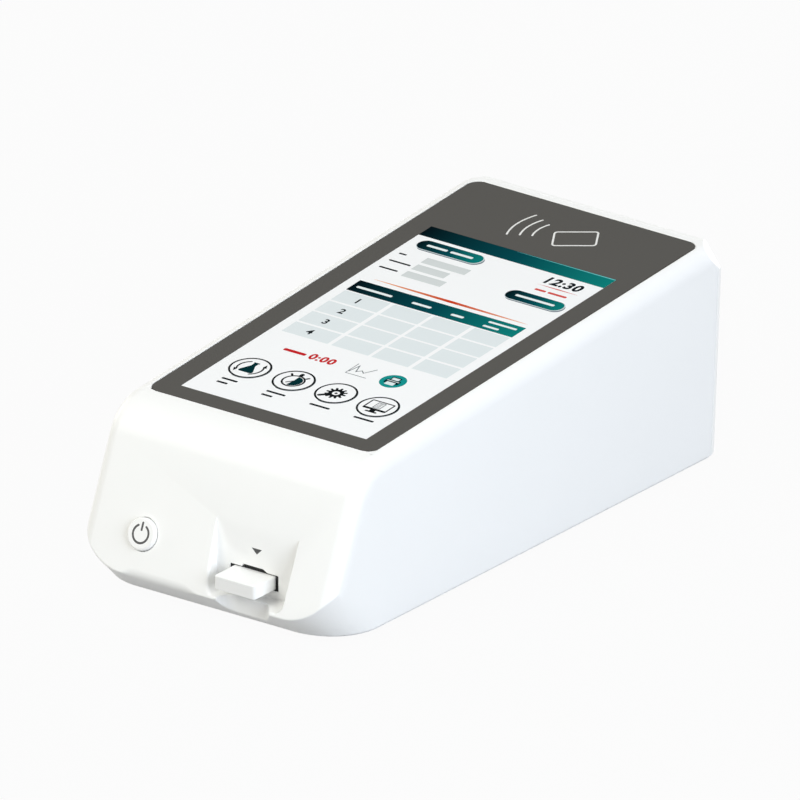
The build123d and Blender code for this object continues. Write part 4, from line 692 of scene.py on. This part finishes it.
def circuit_group():
    """Printed tracks under lacquer: thin bright lines of a brick pattern and dots of a cell pattern."""
    inputs = {"Lacquer": None, "Track": None, "Pitch": 420.0}
    group, given, made, place = new_group("circuit_tracks", inputs)
    lines = node(
        group, "ShaderNodeTexBrick", {"offset": 0.37, "squash": 0.6, "squash_frequency": 3},
        Vector=place, Scale=given["Pitch"], Mortar_Size=0.035, Mortar_Smooth=0.1, Bias=0.0,
    )
    cells = node(group, "ShaderNodeTexVoronoi", Vector=place, Scale=given["Pitch"])
    dots = maths(group, "LESS_THAN", cells.outputs["Distance"], 0.16)
    mask = maths(group, "MAXIMUM", lines.outputs["Fac"], dots)
    tone = blend(group, mask, given["Lacquer"], given["Track"])
    rough = maths(group, "MULTIPLY_ADD", mask, -0.12, 0.42)
    return finished(group, made, Tone=tone, Roughness=rough, Height=mask)


def fade_group():
    """A colour that runs from one tone through a second to a third between two places across the object."""
    inputs = {"Left": None, "Middle": None, "Right": None, "From": -0.04, "To": 0.04}
    group, given, made, place = new_group("tone_fade", inputs, ("Tone",))
    across = node(group, "ShaderNodeSeparateXYZ", Vector=place).outputs["X"]
    ends = {"From_Min": given["From"], "From_Max": given["To"], "To_Min": 0.0, "To_Max": 2.0}
    share = node(group, "ShaderNodeMapRange", Value=across, **ends).outputs[0]
    first = blend(group, share, given["Left"], given["Middle"])
    last = blend(group, maths(group, "SUBTRACT", share, 1.0), first, given["Right"])
    return finished(group, made, Tone=last)


MAKERS = {"grain": grain_group, "streaks": streak_group, "circuit": circuit_group, "fade": fade_group}
GROUPS = {}


def shader(name, group, values, bump=0.0, **settings):
    """A material: one Principled shader, its tone, roughness and bump from a shared group."""
    material = bpy.data.materials.new(name)
    material.use_nodes = True
    tree = material.node_tree
    principled = tree.nodes["Principled BSDF"]
    for key, value in settings.items():
        principled.inputs[key.replace("_", " ")].default_value = value
    if group not in GROUPS:
        GROUPS[group] = MAKERS[group]()
    made = node(tree, "ShaderNodeGroup", {"node_tree": GROUPS[group]})
    for key, value in values.items():
        made.inputs[key].default_value = (*value, 1.0) if isinstance(value, tuple) else value
    tree.links.new(made.outputs["Tone"], principled.inputs["Base Color"])
    if settings.get("Emission_Strength"):
        tree.links.new(made.outputs["Tone"], principled.inputs["Emission Color"])
    if "Roughness" in made.outputs:
        tree.links.new(made.outputs["Roughness"], principled.inputs["Roughness"])
    if bump:
        height = node(tree, "ShaderNodeBump", Distance=bump, Strength=0.3, Height=made.outputs["Height"])
        tree.links.new(height.outputs["Normal"], principled.inputs["Normal"])
    return material


def grained(tone, grain, spread, rough, rough_spread):
    """Values of the grain group."""
    return {
        "Tone": tuple(tone), "Grain": grain, "Tone spread": spread, "Roughness": rough,
        "Roughness spread": rough_spread,
    }


def moulded(name, tone, rough=0.42, grain=2600.0, spread=0.02, bump=1.2e-5):
    """Moulded plastic with a fine spark-eroded grain."""
    return shader(name, "grain", grained(tone, grain, spread, rough, 0.12), bump)


def metal(name, tone, rough):
    """Drawn or ground metal with streaks along its length."""
    values = {"Tone": tone, "Across": 4000.0, "Along": 120.0, "Tone spread": 0.14, "Roughness": rough}
    return shader(name, "streaks", values, 4e-6, Metallic=1.0)


def lit(name, tone, strength):
    """One flat tone of the lit picture, with the faint unevenness of a panel's backlight."""
    values = grained([PANEL_SHARE * value for value in tone], 900.0, 0.012, 0.4, 0.04)
    return shader(name, "grain", values, Emission_Strength=strength, Specular_IOR_Level=0.0)


def lit_fade(name, tones, left, right, strength):
    """A lit tone that fades through three tones between two places across the glass, in millimetres."""
    shares = [tuple(PANEL_SHARE * value for value in tone) for tone in tones]
    values = dict(zip(("Left", "Middle", "Right"), shares))
    values |= {"From": GLASS_LOW.x + left * MM, "To": GLASS_LOW.x + right * MM}
    return shader(name, "fade", values, Emission_Strength=strength, Roughness=0.4, Specular_IOR_Level=0.0)


# Sizes and colours that a user would change
def colour(name, text, default):
    """A colour of a look."""
    return FloatVectorProperty(
        name=name, description=text, subtype="COLOR", size=3, min=0.0, max=1.0, default=default
    )


def length(name, text, default):
    """A length of a look, in metres."""
    return FloatProperty(name=name, description=text, default=default, unit="LENGTH", precision=5)


def number(name, text, default):
    """A plain number of a look."""
    return FloatProperty(name=name, description=text, default=default)


class MouldingLook(bpy.types.PropertyGroup):
    """Finish of the white mouldings."""

    white: colour("White", "Tone of the housing, rear panel and button", srgb(250, 250, 248))
    tray: colour("Tray", "Tone of the base tray", srgb(228, 229, 228))
    card: colour("Card", "Tone of the test card", srgb(248, 248, 246))
    roughness: number("Roughness", "Roughness of the moulded surface", 0.42)
    edge: length("Edge radius", "Radius on the sharp edges of the mouldings", 0.45 * MM)


class GlassLook(bpy.types.PropertyGroup):
    """Cover glass with its dark print and the window over the screen, in millimetres on the glass."""

    border: colour("Border", "Dark print behind the glass", srgb(82, 80, 76))
    mark: colour("Marks", "Light printed marks", srgb(232, 232, 228))
    left: number("Screen left", "Left side of the screen on the glass", 9.75)
    right: number("Screen right", "Right side of the screen on the glass", 96.1)
    front: number("Screen front", "Front side of the screen on the glass", 8.4)
    rear: number("Screen rear", "Rear side of the screen on the glass", 164.4)


class PictureLook(bpy.types.PropertyGroup):
    """Colours of the picture on the screen."""

    ground: colour("Ground", "White ground of the picture", srgb(253, 254, 254))
    dark: colour("Dark end", "Dark end of the bars and pills", srgb(6, 20, 26))
    deep: colour("Middle", "Middle tone of the bars and pills", srgb(6, 72, 80))
    teal: colour("Teal", "Light end of the bars and pills", srgb(16, 128, 122))
    field: colour("Fields", "Grey of the entry fields", srgb(216, 221, 220))
    cell: colour("Cells", "Pale tone of the table's cells", srgb(230, 237, 238))
    ink: colour("Ink", "Dark lines and figures", srgb(26, 32, 36))
    red: colour("Red", "Red figures and rule", srgb(200, 36, 40))
    glow: number("Glow", "Light that the picture gives off", 0.2)


class MarkLook(bpy.types.PropertyGroup):
    """Printed marks on the front, in millimetres."""

    ink: colour("Ink", "Dark grey of the printed marks", srgb(72, 72, 72))
    radius: number("Ring radius", "Radius of the power ring's middle line", 3.5)
    width: number("Line width", "Width of the power mark's lines", 0.85)


class StageLook(bpy.types.PropertyGroup):
    """Floor, lamps and camera."""

    floor: colour("Floor", "Tone of the floor", (0.36, 0.36, 0.36))
    white: number("Floor white", "Share of plain white in what the camera sees of the floor", 0.95)
    azimuth: number("Azimuth", "Turn of the camera round the analyzer, in degrees", 36.9)
    elevation: number("Elevation", "Height of the camera over the horizon, in degrees", 22.75)
    width: length("View width", "Width of what the camera sees", 0.2985)
    sky: number("Sky", "Strength of the even light from all round", 0.3)
    key: number("Key lamp", "Power of the large lamp at the front left, in watts", 8.9)
    fill: number("Right lamp", "Power of the cool lamp at the right, in watts", 14.2)
    above: number("Top lamp", "Power of the lamp above, in watts", 2.6)
    back: number("Rear lamp", "Power of the lamp behind, in watts", 9.0)
    left: number("Left lamp", "Power of the lamp at the left, in watts", 5.0)


LOOKS = {
    "analyzer_moulding": MouldingLook,
    "analyzer_glass": GlassLook,
    "analyzer_picture": PictureLook,
    "analyzer_marks": MarkLook,
    "analyzer_stage": StageLook,
}


class ANALYZER_OT_mouldings(bpy.types.Operator):
    """Housing, rear panel and base tray with soft edges and a fine moulded grain"""

    bl_idname = "analyzer.mouldings"
    bl_label = "Mouldings"

    def execute(self, context):
        look = context.scene.analyzer_moulding
        white = moulded("white_moulding", look.white, look.roughness)
        tray = moulded("base_grey", look.tray, 0.5)
        softened(
            "main_housing", "housing_shell", white, look.edge,
            moved=shaped_front, shaped=eased_front, seam=((0, 1, 0), 0.25),
        )
        softened("rear_panel", "rear_wall", white, look.edge * 0.6, seam=((0, -1, 0), 0.4))
        backing = np.array(((3.2, -1.3), (7.9, -1.3), (7.9, 0), (3.2, 0)))
        mirrored = backing[::-1] * (-1, 1)
        printed("corner_backing", (backing, mirrored), -0.6, -0.03, white, on_corners, "white_moulding")
        softened("base_tray", "bottom_tray", tray, look.edge * 0.5)
        return {"FINISHED"}


class ANALYZER_OT_glass(bpy.types.Operator):
    """Cover glass with its dark printed border, and the card mark and three arcs behind the screen"""

    bl_idname = "analyzer.glass"
    bl_label = "Cover glass"

    def execute(self, context):
        look = context.scene.analyzer_glass
        values = grained(look.border, 1400.0, 0.03, 0.3, 0.05)
        dark = shader("screen_glass", "grain", values, Specular_IOR_Level=0.04)
        outer = rounded(0, GLASS_WIDTH, 0, GLASS_LENGTH, GLASS_CORNER, 12)
        inner = rounded(look.left, look.right, look.front, look.rear, 0.2, 12)
        points, faces = plates([ring(outer, inner)], -GLASS_DEPTH, 0.0)
        border = piece(
            "glass_border", on_glass(points), faces, dark, replaces=("cover_glass",),
            smooth=30,
        )
        bevel = border.modifiers.new("glass edge", "BEVEL")
        bevel.width, bevel.segments, bevel.limit_method = 0.15 * MM, 2, "ANGLE"
        light = shader("mark_print", "grain", grained(look.mark, 3000.0, 0.03, 0.45, 0.05))
        turn, middle = 31.2, np.array((62.2, 184.0))
        card = ring(rounded(53.6, 70.8, 177.9, 190.1, 1.7), rounded(54.35, 70.05, 178.65, 189.35, 1.0))
        marks = [tuple(turned(outline, turn, middle) for outline in card)]
        waves = turn + 172.6
        for radius in (22.8, 17.8, 13.0):
            marks.append(stroke(arc(58.7, 183.0, radius, waves, 360 - waves)[::-1], 0.75))
        printed("glass_marks", marks, 0.0, 0.02, light, slot="screen_glass")
        return {"FINISHED"}


class ANALYZER_OT_picture(bpy.types.Operator):
    """Lit ground of the screen with its head band, pills, fields, clock, rule and table"""

    bl_idname = "analyzer.picture"
    bl_label = "Screen picture"

    def execute(self, context):
        glass, look = context.scene.analyzer_glass, context.scene.analyzer_picture
        glow, tones = look.glow, (look.dark, look.deep, look.teal)
        window = np.array((glass.left, glass.right, glass.front, glass.rear))
        inset = np.array((0.02, -0.02, 0.02, -0.02))
        ground = lit("picture_ground", look.ground, glow)
        printed("picture_ground", [rounded(*(window + inset), 0.2)], -GLASS_DEPTH, PICTURE_FACE, ground)
        head = glass.left + 0.03, glass.right - 0.03, HEAD_LOW, glass.rear - 0.03
        faded = [
            ("head_band", head, 0.1, 0, 2, glass.left, glass.right),
            ("table_head", TABLE_HEAD, 0.1, 0, 2, *TABLE_HEAD[:2]),
        ]
        faded += [(name, sides, 3.6, 2, 3, sides[0] - 0.1, sides[1] + 0.2) for name, sides in PILLS]
        for name, sides, radius, first, last, *ends in faded:
            lit_layer(name, [rounded(*sides, radius)], first, last, lit_fade(name, tones, *ends, glow))
        cells = [(*sides, low, low + ROW_HEIGHT) for sides in TABLE_COLUMNS for low in TABLE_ROWS]
        flat = (
            ("pill_shadow", srgb(120, 130, 138), PILL_SHADOWS, 3.7, 0, 1),
            ("pill_rim", srgb(214, 226, 228), PILL_RIMS, 3.8, 1, 2),
            ("entry_field", look.field, FIELDS, 0.2, 0, 2),
            ("table_cell", look.cell, cells, 0.15, 0, 2),
        )
        for name, tone, places, radius, first, last in flat:
            outlines = [rounded(*sides, radius) for sides in places]
            lit_layer(name + "s", outlines, first, last, lit(name, tone, glow))
        lit_layer("head_line", [np.array(HEAD_LINE)], 2, 3, lit("head_line", srgb(104, 196, 196), glow))
        self.rule(glow)
        self.words(look)
        return {"FINISHED"}

    def rule(self, glow):
        """A red rule, thickest in its middle: half its thickness is 0.85 (1-|t|)^0.7 for t from -1 to 1."""
        t = np.linspace(-1, 1, 41)
        x, middle = 54 + 36 * t, 117.3 - 0.25 * t
        swell = 0.85 * (1 - abs(t)) ** 0.7 + 0.02
        lower, upper = np.column_stack((x, middle - swell)), np.column_stack((x, middle + swell))
        tones = srgb(240, 170, 120), srgb(206, 62, 28), srgb(240, 170, 130)
        fade = lit_fade("red_rule", tones, x[0], x[-1], glow)
        lit_layer("red_rule", [np.vstack((lower, upper[::-1]))], 0, 2, fade)

    def words(self, look):
        """Plain bars where a real screen has words, and generic figures."""
        tones = {"white": srgb(236, 244, 244), "dark": look.ink, "red": look.red}
        tones["pale_red"] = srgb(214, 84, 78)
        white, dark, red, pale = (lit(name + "_ink", tone, look.glow) for name, tone in tones.items())
        rows = [digits(str(i + 1), 24.0, middle, 3.9) for i, middle in enumerate(ROW_NUMBERS)]
        layers = (
            ("white_bars", WHITE_BARS, 3, 4, white, ()),
            ("dark_bars", DARK_BARS, 0, 2, dark, ()),
            ("row_numbers", (), 2, 4, dark, rows),
            ("clock_figures", (), 0, 3, dark, [digits("12:30", 81.8, 151.0, 5.6, 0.04, 0.1, 0.98)]),
            ("timer_figures", (TIMER_BAR,), 0, 3, red, [digits("0:00", 41.9, 53.6, 4.8, 0.04)]),
        )
        for name, bars, first, last, ink, figures in layers:
            lit_layer(name, [bar(*place) for place in bars], first, last, ink, figures=figures)
        dates = [np.array(DATE_LINE)] + [bar(*place) for place in DATE_BARS]
        lit_layer("date_bars", dates, 0, 2, pale)


class ANALYZER_OT_icons(bpy.types.Operator):
    """Line graph, printer sign and the four ringed signs at the front of the screen"""

    bl_idname = "analyzer.icons"
    bl_label = "Screen signs"

    def execute(self, context):
        glow = context.scene.analyzer_picture.glow
        tones = {
            "ink": (24, 28, 30), "grey": (124, 130, 132), "teal": (24, 148, 144), "deep": (6, 48, 52),
            "pale": (226, 238, 238),
        }
        ink, grey, teal, deep, pale = (lit("sign_" + name, srgb(*tone), glow) for name, tone in tones.items())
        shadows = [stroke(arc(x + 0.35, y - 0.4, 7.9, -110, 40), 0.8) for x, y in SIGNS]
        lit_layer("sign_shadows", shadows, 0, 1, grey)
        rings = [ring(*(circle(*place, radius) for radius in SIGN_RING)) for place in SIGNS]
        lit_layer("sign_rings", rings, 1, 3, ink)
        self.flask(SIGNS[0], ink, deep)
        self.stopwatch(SIGNS[1], ink, deep)
        self.gear(SIGNS[2], ink)
        self.monitor(SIGNS[3], ink, grey)
        axes = stroke(((55.8, 57.6), (55.8, 49.3), (65.2, 49.3)), 0.35)
        line = ((56.2, 51.0), (57.2, 56.4), (58.8, 51.8), (60.4, 53.6), (62.0, 52.2), (64.8, 57.0))
        lit_layer("graph_sign", [axes, stroke(line, 0.45)], 0, 2, grey)
        self.printer((75.6, 52.5), teal, deep, pale)
        return {"FINISHED"}

    def flask(self, place, ink, deep):
        """A conical flask: straight neck, sloping sides and a rounded base, between two turning arcs."""
        side = ((2.6, -3.8), (3.2, -3.2), (3.1, -2.4), (0.95, 1.9), (0.95, 4.0), (1.3, 4.0), (1.3, 4.7))
        body = np.vstack((np.array(side[::-1]) * (-1, 1), side))
        lit_layer("flask_sign", [body], 1, 3, deep, at=place)
        arcs = [stroke(arc(0, 0, 5.2, *ends), 0.7) for ends in ((120, 215), (-60, 35))]
        tip = np.array(((4.0, 2.9), (5.8, 2.3), (4.4, 5.0)))
        lit_layer("flask_arcs", [*arcs, tip, -tip], 1, 3, ink, at=place)

    def stopwatch(self, place, ink, deep):
        """A stopwatch: a ring with a crown and two buttons, its right half filled."""
        middle = (0, -0.3)
        half = np.vstack((arc(*middle, 3.7, -100, 90, 40), middle))
        lit_layer("stopwatch_fill", [half], 1, 3, deep, at=place)
        lines = [ring(circle(*middle, 4.7), circle(*middle, 3.95)), stroke(((0, 4.6), (0, 5.6)), 1.7)]
        lines += [stroke(((side * 3.3, 3.5), (side * 4.0, 4.3)), 0.9) for side in (-1, 1)]
        lines.append(stroke((middle, (-1.9, -2.4)), 0.6))
        lit_layer("stopwatch_lines", lines, 1, 3.5, ink, at=place)

    def gear(self, place, ink):
        """A gear with a spanner below: its radius swings between two values twelve times in a turn."""
        turn = np.linspace(0, 2 * math.pi, 192, endpoint=False)
        radius = 3.7 + 0.65 * np.clip(np.cos(12 * turn) * 2.2, -1, 1)
        outer = np.column_stack((radius * np.cos(turn), radius * np.sin(turn)))
        lit_layer("gear_sign", [ring(outer, circle(0, 0, 1.55, 192))], 1, 3, ink, at=place)
        lit_layer("spanner_sign", [stroke(((-2.4, -2.3), (-4.7, -4.4)), 1.5)], 1, 3, ink, at=place)
        lit_layer("gear_middle", [circle(0, 0, 0.6)], 1, 3, ink, at=place)

    def monitor(self, place, ink, grey):
        """A monitor on its foot with a sheet of lines on it."""
        case = ring(rounded(-5.3, 5.3, -3.0, 4.3, 0.6), rounded(-4.7, 4.7, -1.7, 3.7, 0.2))
        foot = rounded(-1.2, 1.2, -4.3, -2.8, 0.1), rounded(-2.6, 2.6, -5.1, -4.2, 0.3)
        lit_layer("monitor_sign", [case, *foot], 1, 3, ink, at=place)
        paper = ring(rounded(-1.8, 1.8, -1.4, 3.3, 0.2), rounded(-1.4, 1.4, -1.0, 2.9, 0.1))
        lines = [rounded(-1.0, 1.0, up, up + 0.35, 0.05) for up in (-0.5, 0.4, 1.3, 2.2)]
        lit_layer("monitor_sheet", [paper, *lines], 1, 2.5, grey, at=place)

    def printer(self, place, teal, deep, pale):
        """A printer on a round ground, with paper above, below and in its slot."""
        lit_layer("printer_disc", [circle(0, 0, 5.3)], 0, 1, teal, at=place)
        body = rounded(-3.3, 3.3, -2.2, 1.1, 0.9), rounded(-2.1, 2.1, 0.5, 3.3, 0.3)
        lit_layer("printer_body", body, 1, 2.5, deep, at=place)
        sheets = ((1.6, 1.0, 2.7), (2.0, -3.2, -0.9), (2.7, -0.1, 0.3))
        papers = [rounded(-half, half, low, high, 0.2) for half, low, high in sheets]
        lit_layer("printer_sheet", papers, 2.5, 4, pale, at=place)


class ANALYZER_OT_marks(bpy.types.Operator):
    """Power button with its printed ring, the arrow over the card slot and black strips of painted shade
    inside it
    """

    bl_idname = "analyzer.marks"
    bl_label = "Button and front marks"

    def execute(self, context):
        look, moulding = context.scene.analyzer_marks, context.scene.analyzer_moulding
        cap = moulded("button_white", moulding.white, 0.38)
        softened("power_button", "button_cap", cap, 0.25 * MM)
        ink = moulded("mark_ink", look.ink, 0.5, spread=0.05)
        gap = 31
        open_ring = stroke(arc(BUTTON_X, BUTTON_UP, look.radius, 90 + gap, 450 - gap, 64), look.width)
        line = stroke(((BUTTON_X, BUTTON_UP + 1.5), (BUTTON_X, BUTTON_UP + 4.3)), look.width)
        points, faces = plates([open_ring, line], BUTTON_OUT, BUTTON_OUT + 0.02)
        piece("power_mark", on_front(points), faces, ink, body="button")
        arrow = np.array(((15.5, 28.9), (17.9, 26.6), (20.3, 28.9)))
        printed("slot_arrow", [arrow], 0.0, 0.02, ink, on_recess, "white_moulding")
        self.shade_strips()
        return {"FINISHED"}

    def shade_strips(self):
        """Black strips just inside the slot round the card: painted shade that darkens the slot's inside and
        the gap round the card.
        """
        room = 0.15
        low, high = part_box("card_base")[0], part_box("card_cover")[1]
        left, right = low.x / MM - room, high.x / MM + room
        foot, top = (low.z - BASE_Z) / MM - room, (high.z - BASE_Z) / MM + room
        strips = [
            (SLOT_LEFT, left, SLOT_LOW, SLOT_HIGH), (right, SLOT_RIGHT, SLOT_LOW, SLOT_HIGH),
            (left, right, SLOT_LOW, foot), (left, right, top, SLOT_HIGH),
            (STEP_LEFT, STEP_RIGHT, SLOT_HIGH, SLOT_TOP),
        ]
        # Near-black tone: painted shade where the inside of the slot falls dark
        black = moulded("painted_shade_black", srgb(22, 22, 23), 0.9)
        outlines = [rounded(*sides, 0.01, 1) for sides in strips]
        printed("slot_painted_shade", outlines, -0.7, -0.35, black, on_recess, "chassis_black")


class ANALYZER_OT_card(bpy.types.Operator):
    """Test card with soft edges"""

    bl_idname = "analyzer.card"
    bl_label = "Test card"

    def execute(self, context):
        look = context.scene.analyzer_moulding
        white = moulded("card_white", look.card, 0.5, grain=3200.0)
        softened("card_base", "card_lower_half", white, 0.18 * MM, seam=((0, 0, 1), 0.0))
        softened("card_cover", "card_upper_half", white, 0.25 * MM, seam=((0, 0, -1), 0.0))
        return {"FINISHED"}


class ANALYZER_OT_inner_finishes(bpy.types.Operator):
    """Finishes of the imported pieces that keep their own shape"""

    bl_idname = "analyzer.inner_finishes"
    bl_label = "Inner pieces"

    def execute(self, context):
        slots = {entry["node"]: entry["material_slot"] for entry in frame["record"]["subparts"]}
        made = {}
        for name, thing in NODES.items():
            slot = slots[name]
            if slot not in made:
                made[slot] = self.finish(slot)
            for place in thing.material_slots:
                place.link = "OBJECT"
                place.material = made[slot]
        return {"FINISHED"}

    def finish(self, slot):
        """The finish of one of the record's material slots."""
        name = slot + "_cad"
        for table, maker in ((PLASTICS, moulded), (METALS, metal)):
            if slot in table:
                *tone, rough = table[slot]
                return maker(name, srgb(*tone), rough)
        if slot == "circuit_board":
            values = {"Lacquer": srgb(24, 96, 62), "Track": srgb(48, 132, 88), "Pitch": 420.0}
            return shader(name, "circuit", values, 1.5e-5, Coat_Weight=0.3)
        if slot == "ribbon_film":
            values = {"Tone": srgb(206, 148, 70), "Across": 900.0, "Along": 10.0, "Tone spread": 0.5}
            return shader(name, "streaks", values | {"Roughness": 0.3}, 6e-6)
        tone = {"lens_glass": srgb(226, 238, 240), "filter_glass": srgb(150, 60, 66)}[slot]
        values = grained(tone, 500.0, 0.02, 0.05, 0.02)
        return shader(name, "grain", values, Transmission_Weight=0.85, IOR=1.52)


def posed(right, up, back, place):
    """The matrix of a camera or lamp from its three axes and its place."""
    matrix = np.eye(4)
    matrix[:3] = np.column_stack((right, up, back, place))
    return Matrix(matrix.tolist())


def shown_white(tree, share, plain, white, output):
    """Gives an output its plain shader, and a share of a white one where a view or a reflection sees it."""
    path = node(tree, "ShaderNodeLightPath").outputs
    seen = maths(tree, "MAXIMUM", path["Is Camera Ray"], path["Is Glossy Ray"])
    seen = maths(tree, "MAXIMUM", seen, path["Is Transmission Ray"])
    mix = node(tree, "ShaderNodeMixShader", _0=maths(tree, "MULTIPLY", seen, share), _1=plain, _2=white)
    tree.links.new(mix.outputs[0], tree.nodes[output].inputs["Surface"])


class ANALYZER_OT_stage(bpy.types.Operator):
    """Pale floor, soft lamps and the camera of the photograph"""

    bl_idname = "analyzer.stage"
    bl_label = "Stage"

    def execute(self, context):
        look, scene = context.scene.analyzer_stage, context.scene
        self.floor(look)
        self.sky(scene, look)
        self.lamps(look)
        self.camera(scene, look)
        scene.view_settings.view_transform = "Standard"
        return {"FINISHED"}

    def camera(self, scene, look):
        """A parallel view whose middle is right of and over the front right foot of the housing."""
        a, e = math.radians(look.azimuth), math.radians(look.elevation)
        right = np.array((math.cos(a), math.sin(a), 0))
        up = np.array((-math.sin(a) * math.sin(e), math.cos(a) * math.sin(e), math.cos(e)))
        back = np.cross(right, up)
        shift_right, shift_up = 21.08 * MM, 92.16 * MM
        target = np.array((HOUSING_HIGH.x, BASE_Y, BASE_Z)) + shift_right * right + shift_up * up
        data = bpy.data.cameras.new("camera")
        data.type, data.ortho_scale, data.clip_start, data.clip_end = "ORTHO", look.width, 0.01, 20.0
        camera = added("camera", data)
        camera.matrix_world = posed(right, up, back, target + back)
        scene.camera = camera

    def floor(self, look):
        """A flat round floor: rings of points at growing radii."""
        material = moulded("floor_paper", look.floor, 0.95, grain=300.0, spread=0.004, bump=0.0)
        tree = material.node_tree
        paper = node(tree, "ShaderNodeEmission", Color=(1.0, 1.0, 1.0, 1.0), Strength=1.0).outputs[0]
        plain = tree.nodes["Principled BSDF"].outputs[0]
        shown_white(tree, look.white, plain, paper, "Material Output")
        count = 96
        rings = np.vstack([circle(0, 0, radius, count) for radius in (0.5, 6.0)])
        here = np.arange(count)
        there = np.roll(here, -1)
        faces = [here.tolist()] + np.column_stack((here, here + count, there + count, there)).tolist()
        surface("floor", np.column_stack((rings, np.zeros(2 * count))), faces, material)

    def sky(self, scene, look):
        """An even light from all round, which the camera sees as nearly white."""
        world = bpy.data.worlds.new("sky")
        scene.world = world
        world.use_nodes = True
        tree = world.node_tree
        even = tree.nodes["Background"]
        even.inputs["Color"].default_value = (0.985, 0.99, 1.0, 1.0)
        even.inputs["Strength"].default_value = look.sky
        shown = node(tree, "ShaderNodeBackground", Color=(0.975, 0.975, 0.975, 1.0), Strength=1.0)
        shown_white(tree, 1.0, even.outputs[0], shown.outputs[0], "World Output")

    def lamps(self, look):
        """A large warm lamp at the front left, a cool one at the right, and more above, behind and left."""
        lamps = (
            ("key", (-0.5, -1.1, 0.9), 0.9, look.key, (1.0, 0.985, 0.9)),
            ("right", (1.25, -0.45, 0.5), 0.9, look.fill, (0.84, 0.905, 1.0)),
            ("above", (0.0, 0.1, 1.4), 1.0, look.above, (1.0, 1.0, 1.0)),
            ("back", (-0.1, 1.4, 0.35), 0.8, look.back, (0.98, 0.99, 1.0)),
            ("left", (-1.4, 0.1, 0.4), 0.8, look.left, (1.0, 1.0, 0.98)),
        )
        for name, place, size, power, tone in lamps:
            data = bpy.data.lights.new(name, "AREA")
            data.shape, data.size, data.energy, data.color = "DISK", size, power, tone
            lamp = added(name, data)
            back = np.array(place) / np.linalg.norm(place)
            right = np.cross((0, 1, 0) if abs(back[2]) > 0.95 else (0, 0, 1), back)
            right /= np.linalg.norm(right)
            lamp.matrix_world = posed(right, np.cross(back, right), back, place)
            lamp.visible_camera = False


OPERATORS = (
    ANALYZER_OT_inner_finishes,
    ANALYZER_OT_mouldings,
    ANALYZER_OT_glass,
    ANALYZER_OT_picture,
    ANALYZER_OT_icons,
    ANALYZER_OT_marks,
    ANALYZER_OT_card,
    ANALYZER_OT_stage,
)


class ANALYZER_PT_panel(bpy.types.Panel):
    """Sidebar panel that lists the analyzer's steps"""

    bl_idname = "ANALYZER_PT_panel"
    bl_label = "Analyzer"
    bl_space_type = "VIEW_3D"
    bl_region_type = "UI"
    bl_category = "Analyzer"

    def draw(self, context):
        for operator in OPERATORS:
            self.layout.operator(operator.bl_idname)
        for name in LOOKS:
            group = getattr(context.scene, name)
            box = self.layout.box()
            for key in group.__annotations__:
                box.prop(group, key)


def register():
    """Registers the looks, operators and panel."""
    for kind in (*LOOKS.values(), *OPERATORS, ANALYZER_PT_panel):
        bpy.utils.register_class(kind)
    for name, kind in LOOKS.items():
        setattr(bpy.types.Scene, name, PointerProperty(type=kind))


def unregister():
    """Takes the looks, operators and panel back."""
    for name in LOOKS:
        delattr(bpy.types.Scene, name)
    for kind in reversed((*LOOKS.values(), *OPERATORS, ANALYZER_PT_panel)):
        bpy.utils.unregister_class(kind)


def main():
    """Dresses the analyzer."""
    register()
    for operator in OPERATORS:
        getattr(bpy.ops.analyzer, operator.bl_idname.split(".")[1])()


if __name__ == "__main__":
    main()
